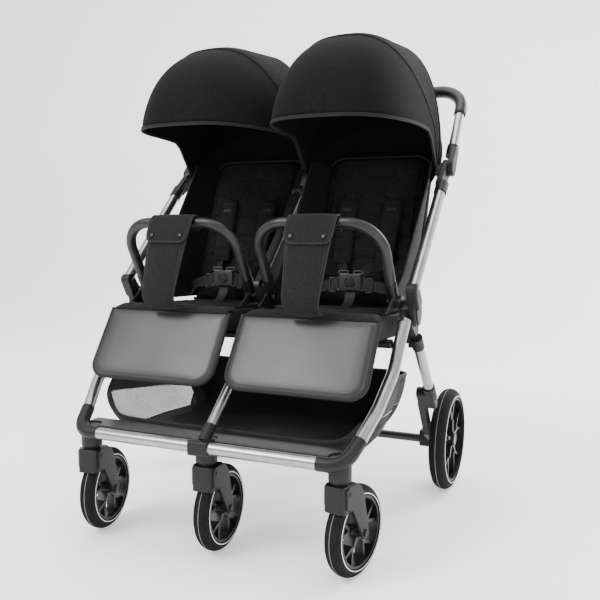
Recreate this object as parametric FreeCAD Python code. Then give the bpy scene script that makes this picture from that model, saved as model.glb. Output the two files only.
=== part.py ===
"""Twin side-by-side pushchair: aluminium folding frame, three swivel casters, two seats.

Millimetres, +Z up.  The pushchair faces -Y and the parent stands at +Y, so "left" is +X.
The origin is on the floor, at the middle of the bounding box.
"""
import FreeCAD, Part
import math
import os

os.makedirs("parts", exist_ok=True)

# ---- driving dimensions -------------------------------------------------------------
# wheels and casters
CASTER_PITCH = 300.0          # between neighbouring caster stems
STEM_Y = -369.0
CASTER_TRAIL = 54.0
CASTER_R = 93.0               # front wheel radius
CASTER_TYRE_R = 19.0          # radius of the tyre's round section
CASTER_TURN = {"left": 10.8, "centre": -1.3, "right": -8.1}   # parked swivel, degrees
REAR_WHEEL_X = 358.0
REAR_AXLE_Y = 276.0
REAR_R = 133.0
REAR_TYRE_R = 22.0
SPOKES = 5

# frame tubes
TUBE_R = 13.0
TUBE_WALL = 1.6
BAR_Y = -393.0                # front cross bar
BAR_Z = 246.0
STEM_R = 23.0
STEM_FOOT_Z = 208.0
KINGPIN_R = 8.0
RUNNING_GAP = 0.05            # radial clearance of pins that turn

# fold hub
HUB_Y = -93.0
HUB_Z = 510.0
HUB_R = 29.0
HUB_IN_X = 343.0              # inner face of the fixed hub plate
HUB_MID_X = 358.5             # its outer face
HUB_OUT_X = 379.0             # outer face of the turning hub's cover
PUSH_X = 372.0                # plane of the push tubes
LEG_X = 352.0                 # plane of the rear legs
LEG_PIVOT = (-45.0, 468.0)    # y, z

# handle
HANDLE_PIVOT = (175.0, 842.0)
GRIP_R = 15.5

# seats
SEAT_PITCH = 351.0
SEAT_HALF = 142.0
SEAT_FRONT = (-225.0, 512.0)  # y, z of the pad's top front edge
SEAT_BIGHT = (66.0, 500.0)    # where the pad meets the backrest
BACK_LEAN = 21.4              # degrees from upright
BACK_LENGTH = 410.0
PAD_THICK = 26.0
BACK_HINGE = (92.0, 500.0)

# bumper bars and calf rests
BUMPER_HALF = 148.0
BUMPER_R = 12.0
BUMPER_PIVOT = (-110.0, 535.0)
BUMPER_TOP = (-206.0, 708.0)
CALF_HINGE = (-232.0, 494.0)
CALF_LENGTH = 150.0
CALF_THICK = 16.0
CALF_LEAN = 33.0              # degrees from hanging straight down

# canopies
CANOPY_PIVOT = (130.0, 830.0)
CANOPY_R = 330.0
CANOPY_HALF = 173.5
CANOPY_CORNER = 125.0
CANOPY_SKIN = 4.0


def vec(x, y, z):
    return FreeCAD.Vector(x, y, z)


def box(x0, x1, y0, y1, z0, z1):
    return Part.makeBox(x1 - x0, y1 - y0, z1 - z0, vec(x0, y0, z0))


def cylinder_x(radius, x0, x1, y, z):
    return Part.makeCylinder(radius, x1 - x0, vec(x0, y, z), vec(1, 0, 0))


def cylinder_z(radius, x, y, z0, z1):
    return Part.makeCylinder(radius, z1 - z0, vec(x, y, z0), vec(0, 0, 1))


def prism_x(outline, x0, x1):
    """Extrude a closed outline of (y, z) points along X."""
    points = [vec(x0, y, z) for y, z in outline]
    face = Part.Face(Part.makePolygon(points + points[:1]))
    return face.extrude(vec(x1 - x0, 0, 0))


def hull_x(circles, x0, x1):
    """Plate along X that wraps a chain of (y, z, radius) circles with straight flanks."""
    plate = None
    for first, second in zip(circles, circles[1:]):
        link = bar_between(first, second, x0, x1)
        plate = link if plate is None else plate.fuse(link)
    return plate.removeSplitter()


def bar_between(first, second, x0, x1):
    """Tapered bar with round ends between two (y, z, radius) circles."""
    y0, z0, r0 = first
    y1, z1, r1 = second
    length = math.hypot(y1 - y0, z1 - z0)
    heading = math.atan2(z1 - z0, y1 - y0)
    spread = math.acos((r0 - r1) / length)
    outline = []
    for y, z, radius, sign in ((y0, z0, r0, 1), (y1, z1, r1, 1), (y1, z1, r1, -1), (y0, z0, r0, -1)):
        angle = heading + sign * spread
        outline.append((y + radius * math.cos(angle), z + radius * math.sin(angle)))
    ends = [cylinder_x(r0, x0, x1, y0, z0), cylinder_x(r1, x0, x1, y1, z1)]
    return prism_x(outline, x0, x1).multiFuse(ends)


def bent_path(points, radius):
    """Straight runs joined by tangent arcs of one bend radius."""
    corners = [vec(*point) for point in points]
    edges = []
    start = corners[0]
    for before, corner, after in zip(corners, corners[1:], corners[2:]):
        back = (before - corner).normalize()
        ahead = (after - corner).normalize()
        half = math.acos(max(-1.0, min(1.0, back.dot(ahead)))) / 2
        reach = radius / math.tan(half)
        centre = corner + (back + ahead).normalize() * (radius / math.sin(half))
        enter = corner + back * reach
        leave = corner + ahead * reach
        middle = centre + (corner - centre).normalize() * radius
        edges.append(Part.makeLine(start, enter))
        edges.append(Part.Arc(enter, middle, leave).toShape())
        start = leave
    edges.append(Part.makeLine(start, corners[-1]))
    return Part.Wire(edges)


def rod(points, radius, bend):
    """Solid round bar along a bent path."""
    path = bent_path(points, bend)
    start = vec(*points[0])
    ring = Part.makeCircle(radius, start, vec(*points[1]) - start)
    return path.makePipeShell([Part.Wire([ring])], True, False)


def tube(points, radius, bend, wall=TUBE_WALL):
    return rod(points, radius, bend).cut(rod(points, radius - wall, bend))


def rounded(shape, radius, wanted):
    """Fillet the edges that the test accepts."""
    edges = [edge for edge in shape.Edges if wanted(edge)]
    return shape.makeFillet(radius, edges)


def along(edge, axis):
    """True for a straight edge that runs along X (0), Y (1) or Z (2)."""
    if not isinstance(edge.Curve, Part.Line):
        return False
    return abs(abs(edge.Curve.Direction[axis]) - 1) < 1e-6


def at_face(edge, axis, values):
    """True for an edge that lies wholly in one of the planes axis = value."""
    bounds = edge.BoundBox
    low = (bounds.XMin, bounds.YMin, bounds.ZMin)[axis]
    high = (bounds.XMax, bounds.YMax, bounds.ZMax)[axis]
    return any(abs(low - value) < 1e-4 and abs(high - value) < 1e-4 for value in values)


def mirrored(shape):
    return shape.mirror(vec(0, 0, 0), vec(1, 0, 0))


def moved(shape, x=0.0, y=0.0, z=0.0):
    copy = shape.copy()
    copy.translate(vec(x, y, z))
    return copy


def turned(shape, centre, axis, angle):
    copy = shape.copy()
    copy.rotate(centre, axis, angle)
    return copy


def save(node, shape):
    shape.exportStep("parts/" + node + ".step")


def save_pair(node, left):
    """The left piece and its mirror image, as two nodes."""
    save(node + "_left", left)
    save(node + "_right", mirrored(left))


def save_twins(node, left):
    """The left piece and its mirror image, as the two solids of one node."""
    save(node, Part.makeCompound([left, mirrored(left)]))


# ---- wheels -------------------------------------------------------------------------
def tyre(radius, section, x):
    """Foamed tyre, round outside, that sits on the rim's outer face."""
    ring = Part.makeTorus(radius - section, section, vec(x, 0, 0), vec(1, 0, 0))
    seat = cylinder_x(radius - section, x - section - 1, x + section + 1, 0, 0)
    return ring.cut(seat)


def rim(radius, section, x, hub_r, hub_half, cap_side):
    """Moulded rim: channel ring, forked spokes, hub barrel and a domed cap."""
    outer = radius - section
    inner = outer - 6
    half = 0.9 * section
    ring = cylinder_x(outer, x - half, x + half, 0, 0).cut(cylinder_x(inner, x - half, x + half, 0, 0))
    barrel = cylinder_x(hub_r, x - hub_half, x + hub_half, 0, 0)
    pieces = [ring]
    fork_r = 0.5 * inner
    for index in range(SPOKES):
        angle = 90 + index * 360.0 / SPOKES
        stalk = spoke(hub_r - 1, fork_r, 5.0, 3.6, x, half * 0.75)
        pieces.append(turned(stalk, vec(x, 0, 0), vec(1, 0, 0), angle))
        for lean in (-1, 1):
            prong = spoke_between(fork_r, 0, inner + 1, lean * 16.0, 3.6, 3.0, x, half * 0.6)
            pieces.append(turned(prong, vec(x, 0, 0), vec(1, 0, 0), angle))
    wheel = barrel.multiFuse(pieces)
    cap = cylinder_x(hub_r * 0.8, min(x + cap_side * hub_half, x + cap_side * (hub_half + 3)),
                     max(x + cap_side * hub_half, x + cap_side * (hub_half + 3)), 0, 0)
    return wheel.fuse(cap).removeSplitter()


def spoke(r0, r1, w0, w1, x, half):
    return prism_x([(r0, -w0), (r1, -w1), (r1, w1), (r0, w0)], x - half, x + half)


def spoke_between(r0, a0, r1, a1, w0, w1, x, half):
    """Tapered bar from radius r0 at angle a0 to radius r1 at angle a1."""
    y0, z0 = r0 * math.cos(math.radians(a0)), r0 * math.sin(math.radians(a0))
    y1, z1 = r1 * math.cos(math.radians(a1)), r1 * math.sin(math.radians(a1))
    return bar_between((y0, z0, w0), (y1, z1, w1), x - half, x + half)


# ---- casters ------------------------------------------------------------------------
def caster_fork():
    """One moulding in caster coordinates: stem axis at x = y = 0, wheel behind it."""
    axle_y, axle_z = CASTER_TRAIL, CASTER_R
    head_half, head_top = 23.5, 204
    arm_in, arm_out = 21.5, 27.5
    head = box(-head_half, head_half, -25, 28, 150, head_top)
    head = rounded(head, 9, lambda edge: along(edge, 2) and edge.BoundBox.YMax < 0)
    head = rounded(head, 4, lambda edge: at_face(edge, 2, (head_top,)))
    head = head.cut(cylinder_x(CASTER_R + 5, -20.5, 20.5, axle_y, axle_z))
    arm = prism_x([(-16, 198), (-8, 203), (22, 203), (36, 196), (48, 180), (axle_y + 13, axle_z + 4),
                   (axle_y + 12, axle_z - 6), (axle_y + 5, axle_z - 12), (axle_y - 5, axle_z - 12),
                   (axle_y - 12, axle_z - 5), (axle_y - 15, axle_z + 4), (6, 152), (-16, 160)], arm_in, arm_out)
    arm = rounded(arm, 4, lambda edge: along(edge, 0))
    arm = rounded(arm, 2, lambda edge: at_face(edge, 0, (arm_out,)))
    kingpin = cylinder_z(KINGPIN_R, 0, 0, 195, 236)
    collar = cylinder_z(17, 0, 0, 203, STEM_FOOT_Z - 0.4)
    axle = cylinder_x(5, -arm_out, arm_out, axle_y, axle_z)
    bolt = cylinder_x(4, arm_out - 1, arm_out + 1.2, -4, 188)
    nut = cylinder_x(7.5, arm_out - 1, arm_out + 3, axle_y, axle_z)
    pieces = [arm, mirrored(arm), kingpin, collar, axle, bolt, mirrored(bolt), nut, mirrored(nut)]
    return head.multiFuse(pieces).removeSplitter()


def caster_wheel():
    """Tyre and bored rim in caster coordinates."""
    rubber = moved(tyre(CASTER_R, CASTER_TYRE_R, 0), y=CASTER_TRAIL, z=CASTER_R)
    moulding = rim(CASTER_R, CASTER_TYRE_R, 0, 13, 17, 1)
    moulding = moulding.cut(cylinder_x(5 + RUNNING_GAP, -30, 30, 0, 0))
    return rubber, moved(moulding, y=CASTER_TRAIL, z=CASTER_R)


def make_casters():
    fork = caster_fork()
    rubber, moulding = caster_wheel()
    for index, side in enumerate(("right", "centre", "left")):
        for node, shape in (("caster_fork_", fork), ("front_tyre_", rubber), ("front_rim_", moulding)):
            parked = turned(shape, vec(0, 0, 0), vec(0, 0, 1), -CASTER_TURN[side])
            save(node + side, moved(parked, x=(index - 1) * CASTER_PITCH, y=STEM_Y))


def stem_bore(x):
    return cylinder_z(KINGPIN_R + RUNNING_GAP, x, STEM_Y, 195, 237)


# ---- front frame --------------------------------------------------------------------
def make_front_bar():
    bar = cylinder_x(TUBE_R, 22, 262, BAR_Y, BAR_Z).cut(cylinder_x(TUBE_R - TUBE_WALL, 22, 262, BAR_Y, BAR_Z))
    save_twins("front_bar", bar)


SIDE_TUBE = [(331, -341, 285), (348, -285, 337), (356, -213, 398), (357, -167, 462), (357, -135, 498)]


def make_side_tubes():
    save_twins("side_tubes", tube(SIDE_TUBE, TUBE_R, 120))


def make_front_corners():
    """Elbow from the cross bar round to the side tube, with the caster's stem socket."""
    heading = (vec(*SIDE_TUBE[1]) - vec(*SIDE_TUBE[0])).normalize()
    end = vec(*SIDE_TUBE[0])
    elbow = rod([(262, BAR_Y, BAR_Z), (316, BAR_Y, BAR_Z), tuple(end)], TUBE_R + 1.6, 42)
    elbow = elbow.cut(rod(SIDE_TUBE, TUBE_R, 120))
    tongue = Part.makeCylinder(TUBE_R - TUBE_WALL - 0.4, 17, end - heading * 3, heading)
    plug = cylinder_x(TUBE_R - TUBE_WALL, 242, 263, BAR_Y, BAR_Z)
    socket = cylinder_z(STEM_R, CASTER_PITCH, STEM_Y, STEM_FOOT_Z, 256)
    socket = rounded(socket, 4, lambda edge: at_face(edge, 2, (STEM_FOOT_Z, 256)))
    corner = elbow.multiFuse([tongue, plug, socket]).cut(stem_bore(CASTER_PITCH))
    save_pair("front_corner", corner.removeSplitter())


CENTRE_STRUT = [(0, -352, 280), (0, -285, 337), (0, -213, 398), (0, -167, 462)]


def make_centre_block():
    """Saddle that joins both bar tubes, the centre strut and the middle caster socket."""
    saddle = box(-22, 22, BAR_Y - 16, BAR_Y + 22, BAR_Z - 16, BAR_Z + 16)
    saddle = rounded(saddle, 6, lambda edge: along(edge, 0))
    socket = cylinder_z(STEM_R, 0, STEM_Y, STEM_FOOT_Z, 258)
    socket = rounded(socket, 4, lambda edge: at_face(edge, 2, (STEM_FOOT_Z, 258)))
    start = vec(*CENTRE_STRUT[0])
    heading = (vec(*CENTRE_STRUT[1]) - start).normalize()
    neck = Part.makeCylinder(13, 42, start - heading * 40, heading)
    plugs = [cylinder_x(TUBE_R - TUBE_WALL, -42, 42, BAR_Y, BAR_Z)]
    plugs.append(Part.makeCylinder(11 - TUBE_WALL, 26, start, heading))
    strut = Part.makeCylinder(11, 300, start + heading * 2, heading)
    neck = neck.cut(strut)
    save("centre_block", saddle.multiFuse([socket, neck] + plugs).cut(stem_bore(0)).removeSplitter())


def make_centre_strut():
    start = vec(*CENTRE_STRUT[0])
    heading = (vec(*CENTRE_STRUT[1]) - start).normalize()
    path = [tuple(start + heading * 2)] + CENTRE_STRUT[1:]
    save("centre_strut", tube(path, 11, 120))


def make_footboard():
    """Moulded foot ledge behind the cross bar, with a raised front lip."""
    ledge = box(-322, 322, -376, -318, 252, 259)
    ledge = rounded(ledge, 30, lambda edge: along(edge, 2) and edge.BoundBox.YMax < -370)
    ledge = rounded(ledge, 2.5, lambda edge: at_face(edge, 2, (259,)))
    stems = [cylinder_z(STEM_R + 0.3, x, STEM_Y, 250, 262) for x in (-CASTER_PITCH, 0, CASTER_PITCH)]
    start = vec(*CENTRE_STRUT[0])
    heading = (vec(*CENTRE_STRUT[1]) - start).normalize()
    stems.append(Part.makeCylinder(13.4, 90, start - heading * 45, heading))
    stems.append(box(-22.4, 22.4, BAR_Y - 17, BAR_Y + 22.4, BAR_Z - 17, BAR_Z + 17))
    elbow = rod([(262, BAR_Y, BAR_Z), (316, BAR_Y, BAR_Z), SIDE_TUBE[0]], TUBE_R + 2.0, 42)
    side = rod(SIDE_TUBE, TUBE_R + 0.6, 120)
    for solid in (elbow, side):
        stems += [solid, mirrored(solid)]
    for solid in stems:
        ledge = ledge.cut(solid)
    save("footboard", max(ledge.Solids, key=lambda solid: solid.Volume))


# ---- fold hubs ----------------------------------------------------------------------
def tube_end_frame(points):
    end = vec(*points[-1])
    return end, (end - vec(*points[-2])).normalize()


def make_lower_hubs():
    """Fixed hub plates: tube socket, pivot disc, rear-leg ear and bumper pivot pin."""
    end, heading = tube_end_frame(SIDE_TUBE)
    disc = cylinder_x(HUB_R, HUB_IN_X, HUB_MID_X, HUB_Y, HUB_Z)
    arm = bar_between((HUB_Y, HUB_Z, 22), (end.y, end.z, 13), HUB_IN_X + 1, HUB_MID_X - 0.5)
    ear = bar_between((HUB_Y, HUB_Z, 20), LEG_PIVOT + (15,), HUB_IN_X, HUB_MID_X)
    socket = Part.makeCylinder(TUBE_R + 1.6, 12, end - heading * 8, heading)
    socket = socket.cut(box(HUB_MID_X, HUB_MID_X + 30, end.y - 40, end.y + 40, end.z - 40, end.z + 40))
    bore = rod(SIDE_TUBE, TUBE_R, 120)
    boss = cylinder_x(15, 336.5, HUB_IN_X, *BUMPER_PIVOT)
    bumper_pin = cylinder_x(4, 311, HUB_IN_X + 4, *BUMPER_PIVOT)
    pivot_pin = cylinder_x(7, HUB_MID_X - 2, 372, HUB_Y, HUB_Z)
    leg_pin = cylinder_x(6, 326, HUB_IN_X + 2, *LEG_PIVOT)
    plate = disc.multiFuse([arm, ear, socket]).cut(bore)
    plate = plate.multiFuse([boss, bumper_pin, pivot_pin, leg_pin])
    save_pair("hub_lower", plate.removeSplitter())


def make_centre_hub():
    """Forked middle hub: two cheeks either side of the centre post, with pivot pins."""
    end, heading = tube_end_frame(CENTRE_STRUT)
    cheek = cylinder_x(HUB_R - 4, 8, 14, HUB_Y, HUB_Z)
    cheek = cheek.fuse(bar_between((HUB_Y, HUB_Z, 18), (end.y, end.z, 12), 8, 14))
    socket = Part.makeCylinder(14, 34, end - heading * 30, heading)
    pins = [cylinder_x(4, 13, 39, *BUMPER_PIVOT), cylinder_x(4, -39, -13, *BUMPER_PIVOT)]
    pins += [cylinder_x(14, 12, 15, *BUMPER_PIVOT), cylinder_x(14, -15, -12, *BUMPER_PIVOT)]
    pins.append(cylinder_x(6, -9, 9, HUB_Y, HUB_Z))
    hub = cheek.multiFuse([mirrored(cheek), socket])
    hub = hub.cut(rod(CENTRE_STRUT, 11, 120))
    save("hub_lower_centre", hub.multiFuse(pins).removeSplitter())


PUSH_START = (-130.0, 565.0)
PUSH_END = (111.0, 798.0)


def push_heading():
    return vec(0, PUSH_END[0] - PUSH_START[0], PUSH_END[1] - PUSH_START[1]).normalize()


def make_upper_hubs():
    """Turning hub shells with the oval cover, and the sockets of the push tubes."""
    inner_x = HUB_MID_X + 1
    waist = (HUB_Y - 18, HUB_Z + 26, 17)
    shell = bar_between((HUB_Y, HUB_Z, HUB_R), waist, inner_x, HUB_OUT_X - 3)
    shell = rounded(shell, 4, lambda edge: at_face(edge, 0, (HUB_OUT_X - 3,)))
    arm = bar_between(waist, PUSH_START + (14.5,), inner_x, PUSH_X + 12)
    arm = rounded(arm, 4, lambda edge: at_face(edge, 0, (PUSH_X + 12,)))
    tongue = Part.makeCylinder(TUBE_R - TUBE_WALL, 40, vec(PUSH_X, *PUSH_START), push_heading())
    oval = Part.Ellipse(vec(0, 0, 0), 30, 17).toShape()
    cover = Part.Face(Part.Wire([oval])).extrude(vec(0, 0, 4))
    cover = turned(cover, vec(0, 0, 0), vec(0, 1, 0), 90)
    cover = turned(cover, vec(0, 0, 0), vec(1, 0, 0), 12)
    cover = moved(cover, x=HUB_OUT_X - 4, y=HUB_Y - 7, z=HUB_Z + 4)
    cover = rounded(cover, 1.5, lambda edge: at_face(edge, 0, (HUB_OUT_X,)))
    shell = shell.multiFuse([arm, cover])
    tube_space = Part.makeCylinder(TUBE_R, 60, vec(PUSH_X, *PUSH_START), push_heading())
    shell = shell.cut(tube_space).fuse(tongue)
    pin_bore = cylinder_x(7 + RUNNING_GAP, HUB_MID_X, 373, HUB_Y, HUB_Z)
    save_pair("hub_upper", shell.cut(pin_bore).removeSplitter())


def make_push_tubes():
    points = [(PUSH_X,) + PUSH_START, (PUSH_X,) + PUSH_END]
    start = vec(*points[0])
    length = (vec(*points[1]) - start).Length
    outer = Part.makeCylinder(TUBE_R, length, start, push_heading())
    inner = Part.makeCylinder(TUBE_R - TUBE_WALL, length, start, push_heading())
    save_twins("push_tubes", outer.cut(inner))


def make_centre_post():
    """Middle upright with its pivot eye, up to the canopies' shared pivot."""
    eye = cylinder_x(HUB_R - 4, -7, 7, HUB_Y, HUB_Z)
    arm = bar_between((HUB_Y, HUB_Z, 18), PUSH_START + (11,), -7, 7)
    start = vec(0, *PUSH_START)
    post = Part.makeCylinder(11, 320, start, push_heading())
    hollow = Part.makeCylinder(11 - TUBE_WALL, 300, start + push_heading() * 20, push_heading())
    eye = eye.multiFuse([arm, post.cut(hollow)])
    top = cylinder_x(15, -12, 12, 101, 788)
    post_top = bar_between((101, 788, 14), CANOPY_PIVOT + (12,), -5, 5)
    eye = eye.multiFuse([top, post_top])
    save("centre_post", eye.cut(cylinder_x(6 + RUNNING_GAP, -8, 8, HUB_Y, HUB_Z)).removeSplitter())


# ---- handle -------------------------------------------------------------------------
HANDLE_RISE = vec(0, 69, 91).normalize()
GRIP_START = (285.0, 987.0)


def make_handle_joints():
    """Clamshell joints at the top of the push tubes; the upper halves fold with the handle."""
    start = vec(PUSH_X, *PUSH_END)
    sleeve = Part.makeCylinder(TUBE_R + 2.2, 34, start - push_heading() * 30, push_heading())
    sleeve = sleeve.cut(Part.makeCylinder(TUBE_R, 30, start - push_heading() * 30, push_heading()))
    lower = bar_between(PUSH_END + (15,), HANDLE_PIVOT + (21,), PUSH_X - 14, PUSH_X + 1)
    lower = rounded(lower, 4, lambda edge: at_face(edge, 0, (PUSH_X - 14,)))
    canopy_seat = bar_between(CANOPY_PIVOT + (11,), HANDLE_PIVOT + (14,), 352.5, PUSH_X - 10)
    pin = cylinder_x(6, PUSH_X, PUSH_X + 11, *HANDLE_PIVOT)
    lower = lower.multiFuse([sleeve, canopy_seat, pin])
    lower = lower.cut(Part.makeCylinder(TUBE_R, 40, start - push_heading() * 40, push_heading()))
    save_twins("handle_joints", lower.removeSplitter())


def make_handle():
    """Silver risers with their joint halves, and the one-piece bent grip."""
    pivot_y, pivot_z = HANDLE_PIVOT
    foot = vec(PUSH_X, pivot_y, pivot_z) + HANDLE_RISE * 50
    top = vec(PUSH_X, *GRIP_START)
    outer = Part.makeCylinder(TUBE_R - 1, (top - foot).Length, foot, HANDLE_RISE)
    inner = Part.makeCylinder(TUBE_R - 1 - TUBE_WALL, (top - foot).Length, foot, HANDLE_RISE)
    knuckle = bar_between(HANDLE_PIVOT + (21,), (foot.y, foot.z, 14), PUSH_X + 1.5, PUSH_X + 14)
    knuckle = rounded(knuckle, 4, lambda edge: at_face(edge, 0, (PUSH_X + 14,)))
    collar = Part.makeCylinder(TUBE_R + 1.5, 30, foot - HANDLE_RISE * 12, HANDLE_RISE)
    knuckle = knuckle.fuse(collar).cut(Part.makeCylinder(TUBE_R - 1, 60, foot, HANDLE_RISE))
    knuckle = knuckle.cut(cylinder_x(6 + RUNNING_GAP, PUSH_X, PUSH_X + 12, *HANDLE_PIVOT))
    riser = outer.cut(inner)
    save_twins("handle_risers", riser)
    save_twins("handle_knuckles", knuckle.removeSplitter())
    rise = (top + HANDLE_RISE * 84)
    across = [(PUSH_X, top.y, top.z), (PUSH_X, rise.y, rise.z), (-PUSH_X, rise.y, rise.z),
              (-PUSH_X, top.y, top.z)]
    save("handle_grip", rod(across, GRIP_R, 66))


# ---- rear frame ---------------------------------------------------------------------
LEG_TOP = (-26.0, 445.0)
LEG_FOOT = (111.0, 289.0)


def make_rear_legs():
    top = vec(LEG_X, *LEG_TOP)
    foot = vec(LEG_X, *LEG_FOOT)
    heading = (foot - top).normalize()
    leg = Part.makeCylinder(12, (foot - top).Length, top, heading)
    leg = leg.cut(Part.makeCylinder(12 - TUBE_WALL, (foot - top).Length, top, heading))
    save_twins("rear_legs", leg)


def make_rear_hinges():
    """Black knuckles at the top of the rear legs, on the inner side of the hub ear."""
    top = vec(LEG_X, *LEG_TOP)
    heading = (vec(LEG_X, *LEG_FOOT) - top).normalize()
    eye = bar_between(LEG_PIVOT + (15,), LEG_TOP + (13,), 328, 342)
    collar = Part.makeCylinder(14.5, 34, top - heading * 2, heading)
    collar = collar.fuse(box(335, 350, LEG_TOP[0] - 6, LEG_TOP[0] + 18, LEG_TOP[1] - 22, LEG_TOP[1] + 4))
    knuckle = eye.fuse(collar).cut(Part.makeCylinder(12, 60, top, heading))
    ear_room = cylinder_x(16.5, 342.5, 372, *LEG_PIVOT)
    knuckle = knuckle.cut(ear_room).cut(cylinder_x(6 + RUNNING_GAP, 325, 343, *LEG_PIVOT))
    save_twins("rear_hinges", max(knuckle.Solids, key=lambda solid: solid.Volume))


def make_rear_brackets():
    """Cranked carriers that step inboard past the wheel, down to the axle."""
    foot = vec(LEG_X, *LEG_FOOT)
    heading = (foot - vec(LEG_X, *LEG_TOP)).normalize()
    sleeve = Part.makeCylinder(15, 40, foot - heading * 26, heading)
    upper = bar_between((LEG_FOOT[0], LEG_FOOT[1], 14), (136, 258, 13), 318, 362)
    upper = rounded(upper, 4, lambda edge: at_face(edge, 0, (318, 362)))
    lower = hull_x([(134, 262, 13), (196, 170, 13), (REAR_AXLE_Y, REAR_R, 18)], 317, 333)
    axle_box = box(286, 333, REAR_AXLE_Y - 18, REAR_AXLE_Y + 18, REAR_R - 26, REAR_R + 18)
    axle_box = rounded(axle_box, 8, lambda edge: along(edge, 0))
    carrier = sleeve.multiFuse([upper, lower, axle_box]).cut(
        Part.makeCylinder(12, 26, foot - heading * 26, heading))
    wheel_room = cylinder_x(REAR_R + 8, 334, 400, REAR_AXLE_Y, REAR_R)
    stub = cylinder_x(6, 325, 376, REAR_AXLE_Y, REAR_R)
    spacer = cylinder_x(12, 332, 339.5, REAR_AXLE_Y, REAR_R)
    carrier = carrier.cut(wheel_room).multiFuse([stub, spacer])
    carrier = carrier.cut(cylinder_x(11, 280, 300, REAR_AXLE_Y, REAR_R - 8))
    save_pair("rear_bracket", max(carrier.removeSplitter().Solids, key=lambda solid: solid.Volume))


def make_rear_axle():
    axle = cylinder_x(11, -300, 300, REAR_AXLE_Y, REAR_R - 8)
    save("rear_axle", axle.cut(cylinder_x(11 - TUBE_WALL, -300, 300, REAR_AXLE_Y, REAR_R - 8)))


BRAKE_X = -215.0


def make_brake_pedal():
    """Foot pedal that rocks on the axle tube behind the parent's right foot."""
    axle_z = REAR_R - 8
    yoke = cylinder_x(18, BRAKE_X - 26, BRAKE_X + 26, REAR_AXLE_Y, axle_z)
    tread = box(BRAKE_X - 30, BRAKE_X + 30, REAR_AXLE_Y + 8, REAR_AXLE_Y + 66, axle_z + 6, axle_z + 16)
    tread = rounded(tread, 4, lambda edge: along(edge, 2))
    pedal = yoke.fuse(tread).cut(cylinder_x(11 + RUNNING_GAP, BRAKE_X - 40, BRAKE_X + 40, REAR_AXLE_Y, axle_z))
    save("brake_pedal", pedal.removeSplitter())


def make_rear_wheels():
    rubber = moved(tyre(REAR_R, REAR_TYRE_R, REAR_WHEEL_X), y=REAR_AXLE_Y, z=REAR_R)
    moulding = rim(REAR_R, REAR_TYRE_R, REAR_WHEEL_X, 20, 18, 1)
    moulding = moulding.cut(cylinder_x(6 + RUNNING_GAP, 330, 376.4, 0, 0))
    save_pair("rear_tyre", rubber)
    save_pair("rear_rim", moved(moulding, y=REAR_AXLE_Y, z=REAR_R))


# ---- seats --------------------------------------------------------------------------
def seat_slab(top, thick, half):
    """Slab under the seat's top line, sunk by a depth, across the seat's width."""
    (y0, z0), (y1, z1) = SEAT_FRONT, SEAT_BIGHT
    outline = [(y0, z0 - top), (y1, z1 - top), (y1, z1 - top - thick), (y0, z0 - top - thick)]
    return prism_x(outline, -half, half)


def make_seat_frame():
    """Cross tubes, rails and the two seat boards, welded and riveted into one unit."""
    cross_y, cross_z, cross_r = -172, 452, 10
    bore = cylinder_x(cross_r - TUBE_WALL, -340, 340, cross_y, cross_z)
    cross = cylinder_x(cross_r, -340, 340, cross_y, cross_z).cut(bore)
    cross = cross.cut(box(-14.3, 14.3, -190, -150, 440, 470))
    pieces = list(cross.Solids)
    for centre in (-SEAT_PITCH / 2, SEAT_PITCH / 2):
        board = moved(seat_slab(PAD_THICK + 0.3, 6, SEAT_HALF - 4), x=centre)
        pieces.append(board)
        for offset in (-125, 125):
            x = centre + offset
            web = box(x - 4, x + 4, cross_y - 8, 40, 450, 478)
            web = web.cut(cylinder_x(cross_r, x - 6, x + 6, cross_y, cross_z)).cut(board)
            pieces.append(max(web.Solids, key=lambda solid: solid.Volume))
    save("seat_frame", Part.makeCompound(pieces))


def make_seat_pads():
    pad = seat_slab(0, PAD_THICK, SEAT_HALF)
    pad = rounded(pad, 9, lambda edge: not along(edge, 0))
    save_pair("seat_pad", moved(pad, x=SEAT_PITCH / 2))


def make_backrests():
    """Padded back, standing in seat coordinates and then leaned about its foot."""
    foot_y, foot_z = BACK_HINGE
    board = box(-139, 139, foot_y + 8, foot_y + 16, foot_z - 6, foot_z + BACK_LENGTH)
    board = rounded(board, 40, lambda edge: along(edge, 1) and edge.BoundBox.ZMin > foot_z + 300)
    hinge_rod = cylinder_x(4, -139, 139, foot_y, foot_z)
    tongue = box(-139, 139, foot_y, foot_y + 9, foot_z - 2, foot_z + 2)
    board = board.multiFuse([hinge_rod, tongue]).removeSplitter()
    pad = box(-140, 140, foot_y - 18, foot_y + 8, foot_z + 12, foot_z + BACK_LENGTH)
    pad = rounded(pad, 40, lambda edge: along(edge, 1) and edge.BoundBox.ZMin > foot_z + 300)
    pad = rounded(pad, 8, lambda edge: at_face(edge, 1, (foot_y - 18,)))
    shoulder = box(40, 82, foot_y - 34, foot_y - 18, foot_z + 100, foot_z + 270)
    pads = pad.multiFuse([shoulder, mirrored(shoulder)])
    hinge = vec(0, foot_y, foot_z)
    for node, shape in (("backrest_board", board), ("backrest_pad", pads)):
        leaned = turned(shape, hinge, vec(1, 0, 0), -BACK_LEAN)
        save_pair(node, moved(leaned, x=SEAT_PITCH / 2))


BUCKLE = (18.0, 565.0)


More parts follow.
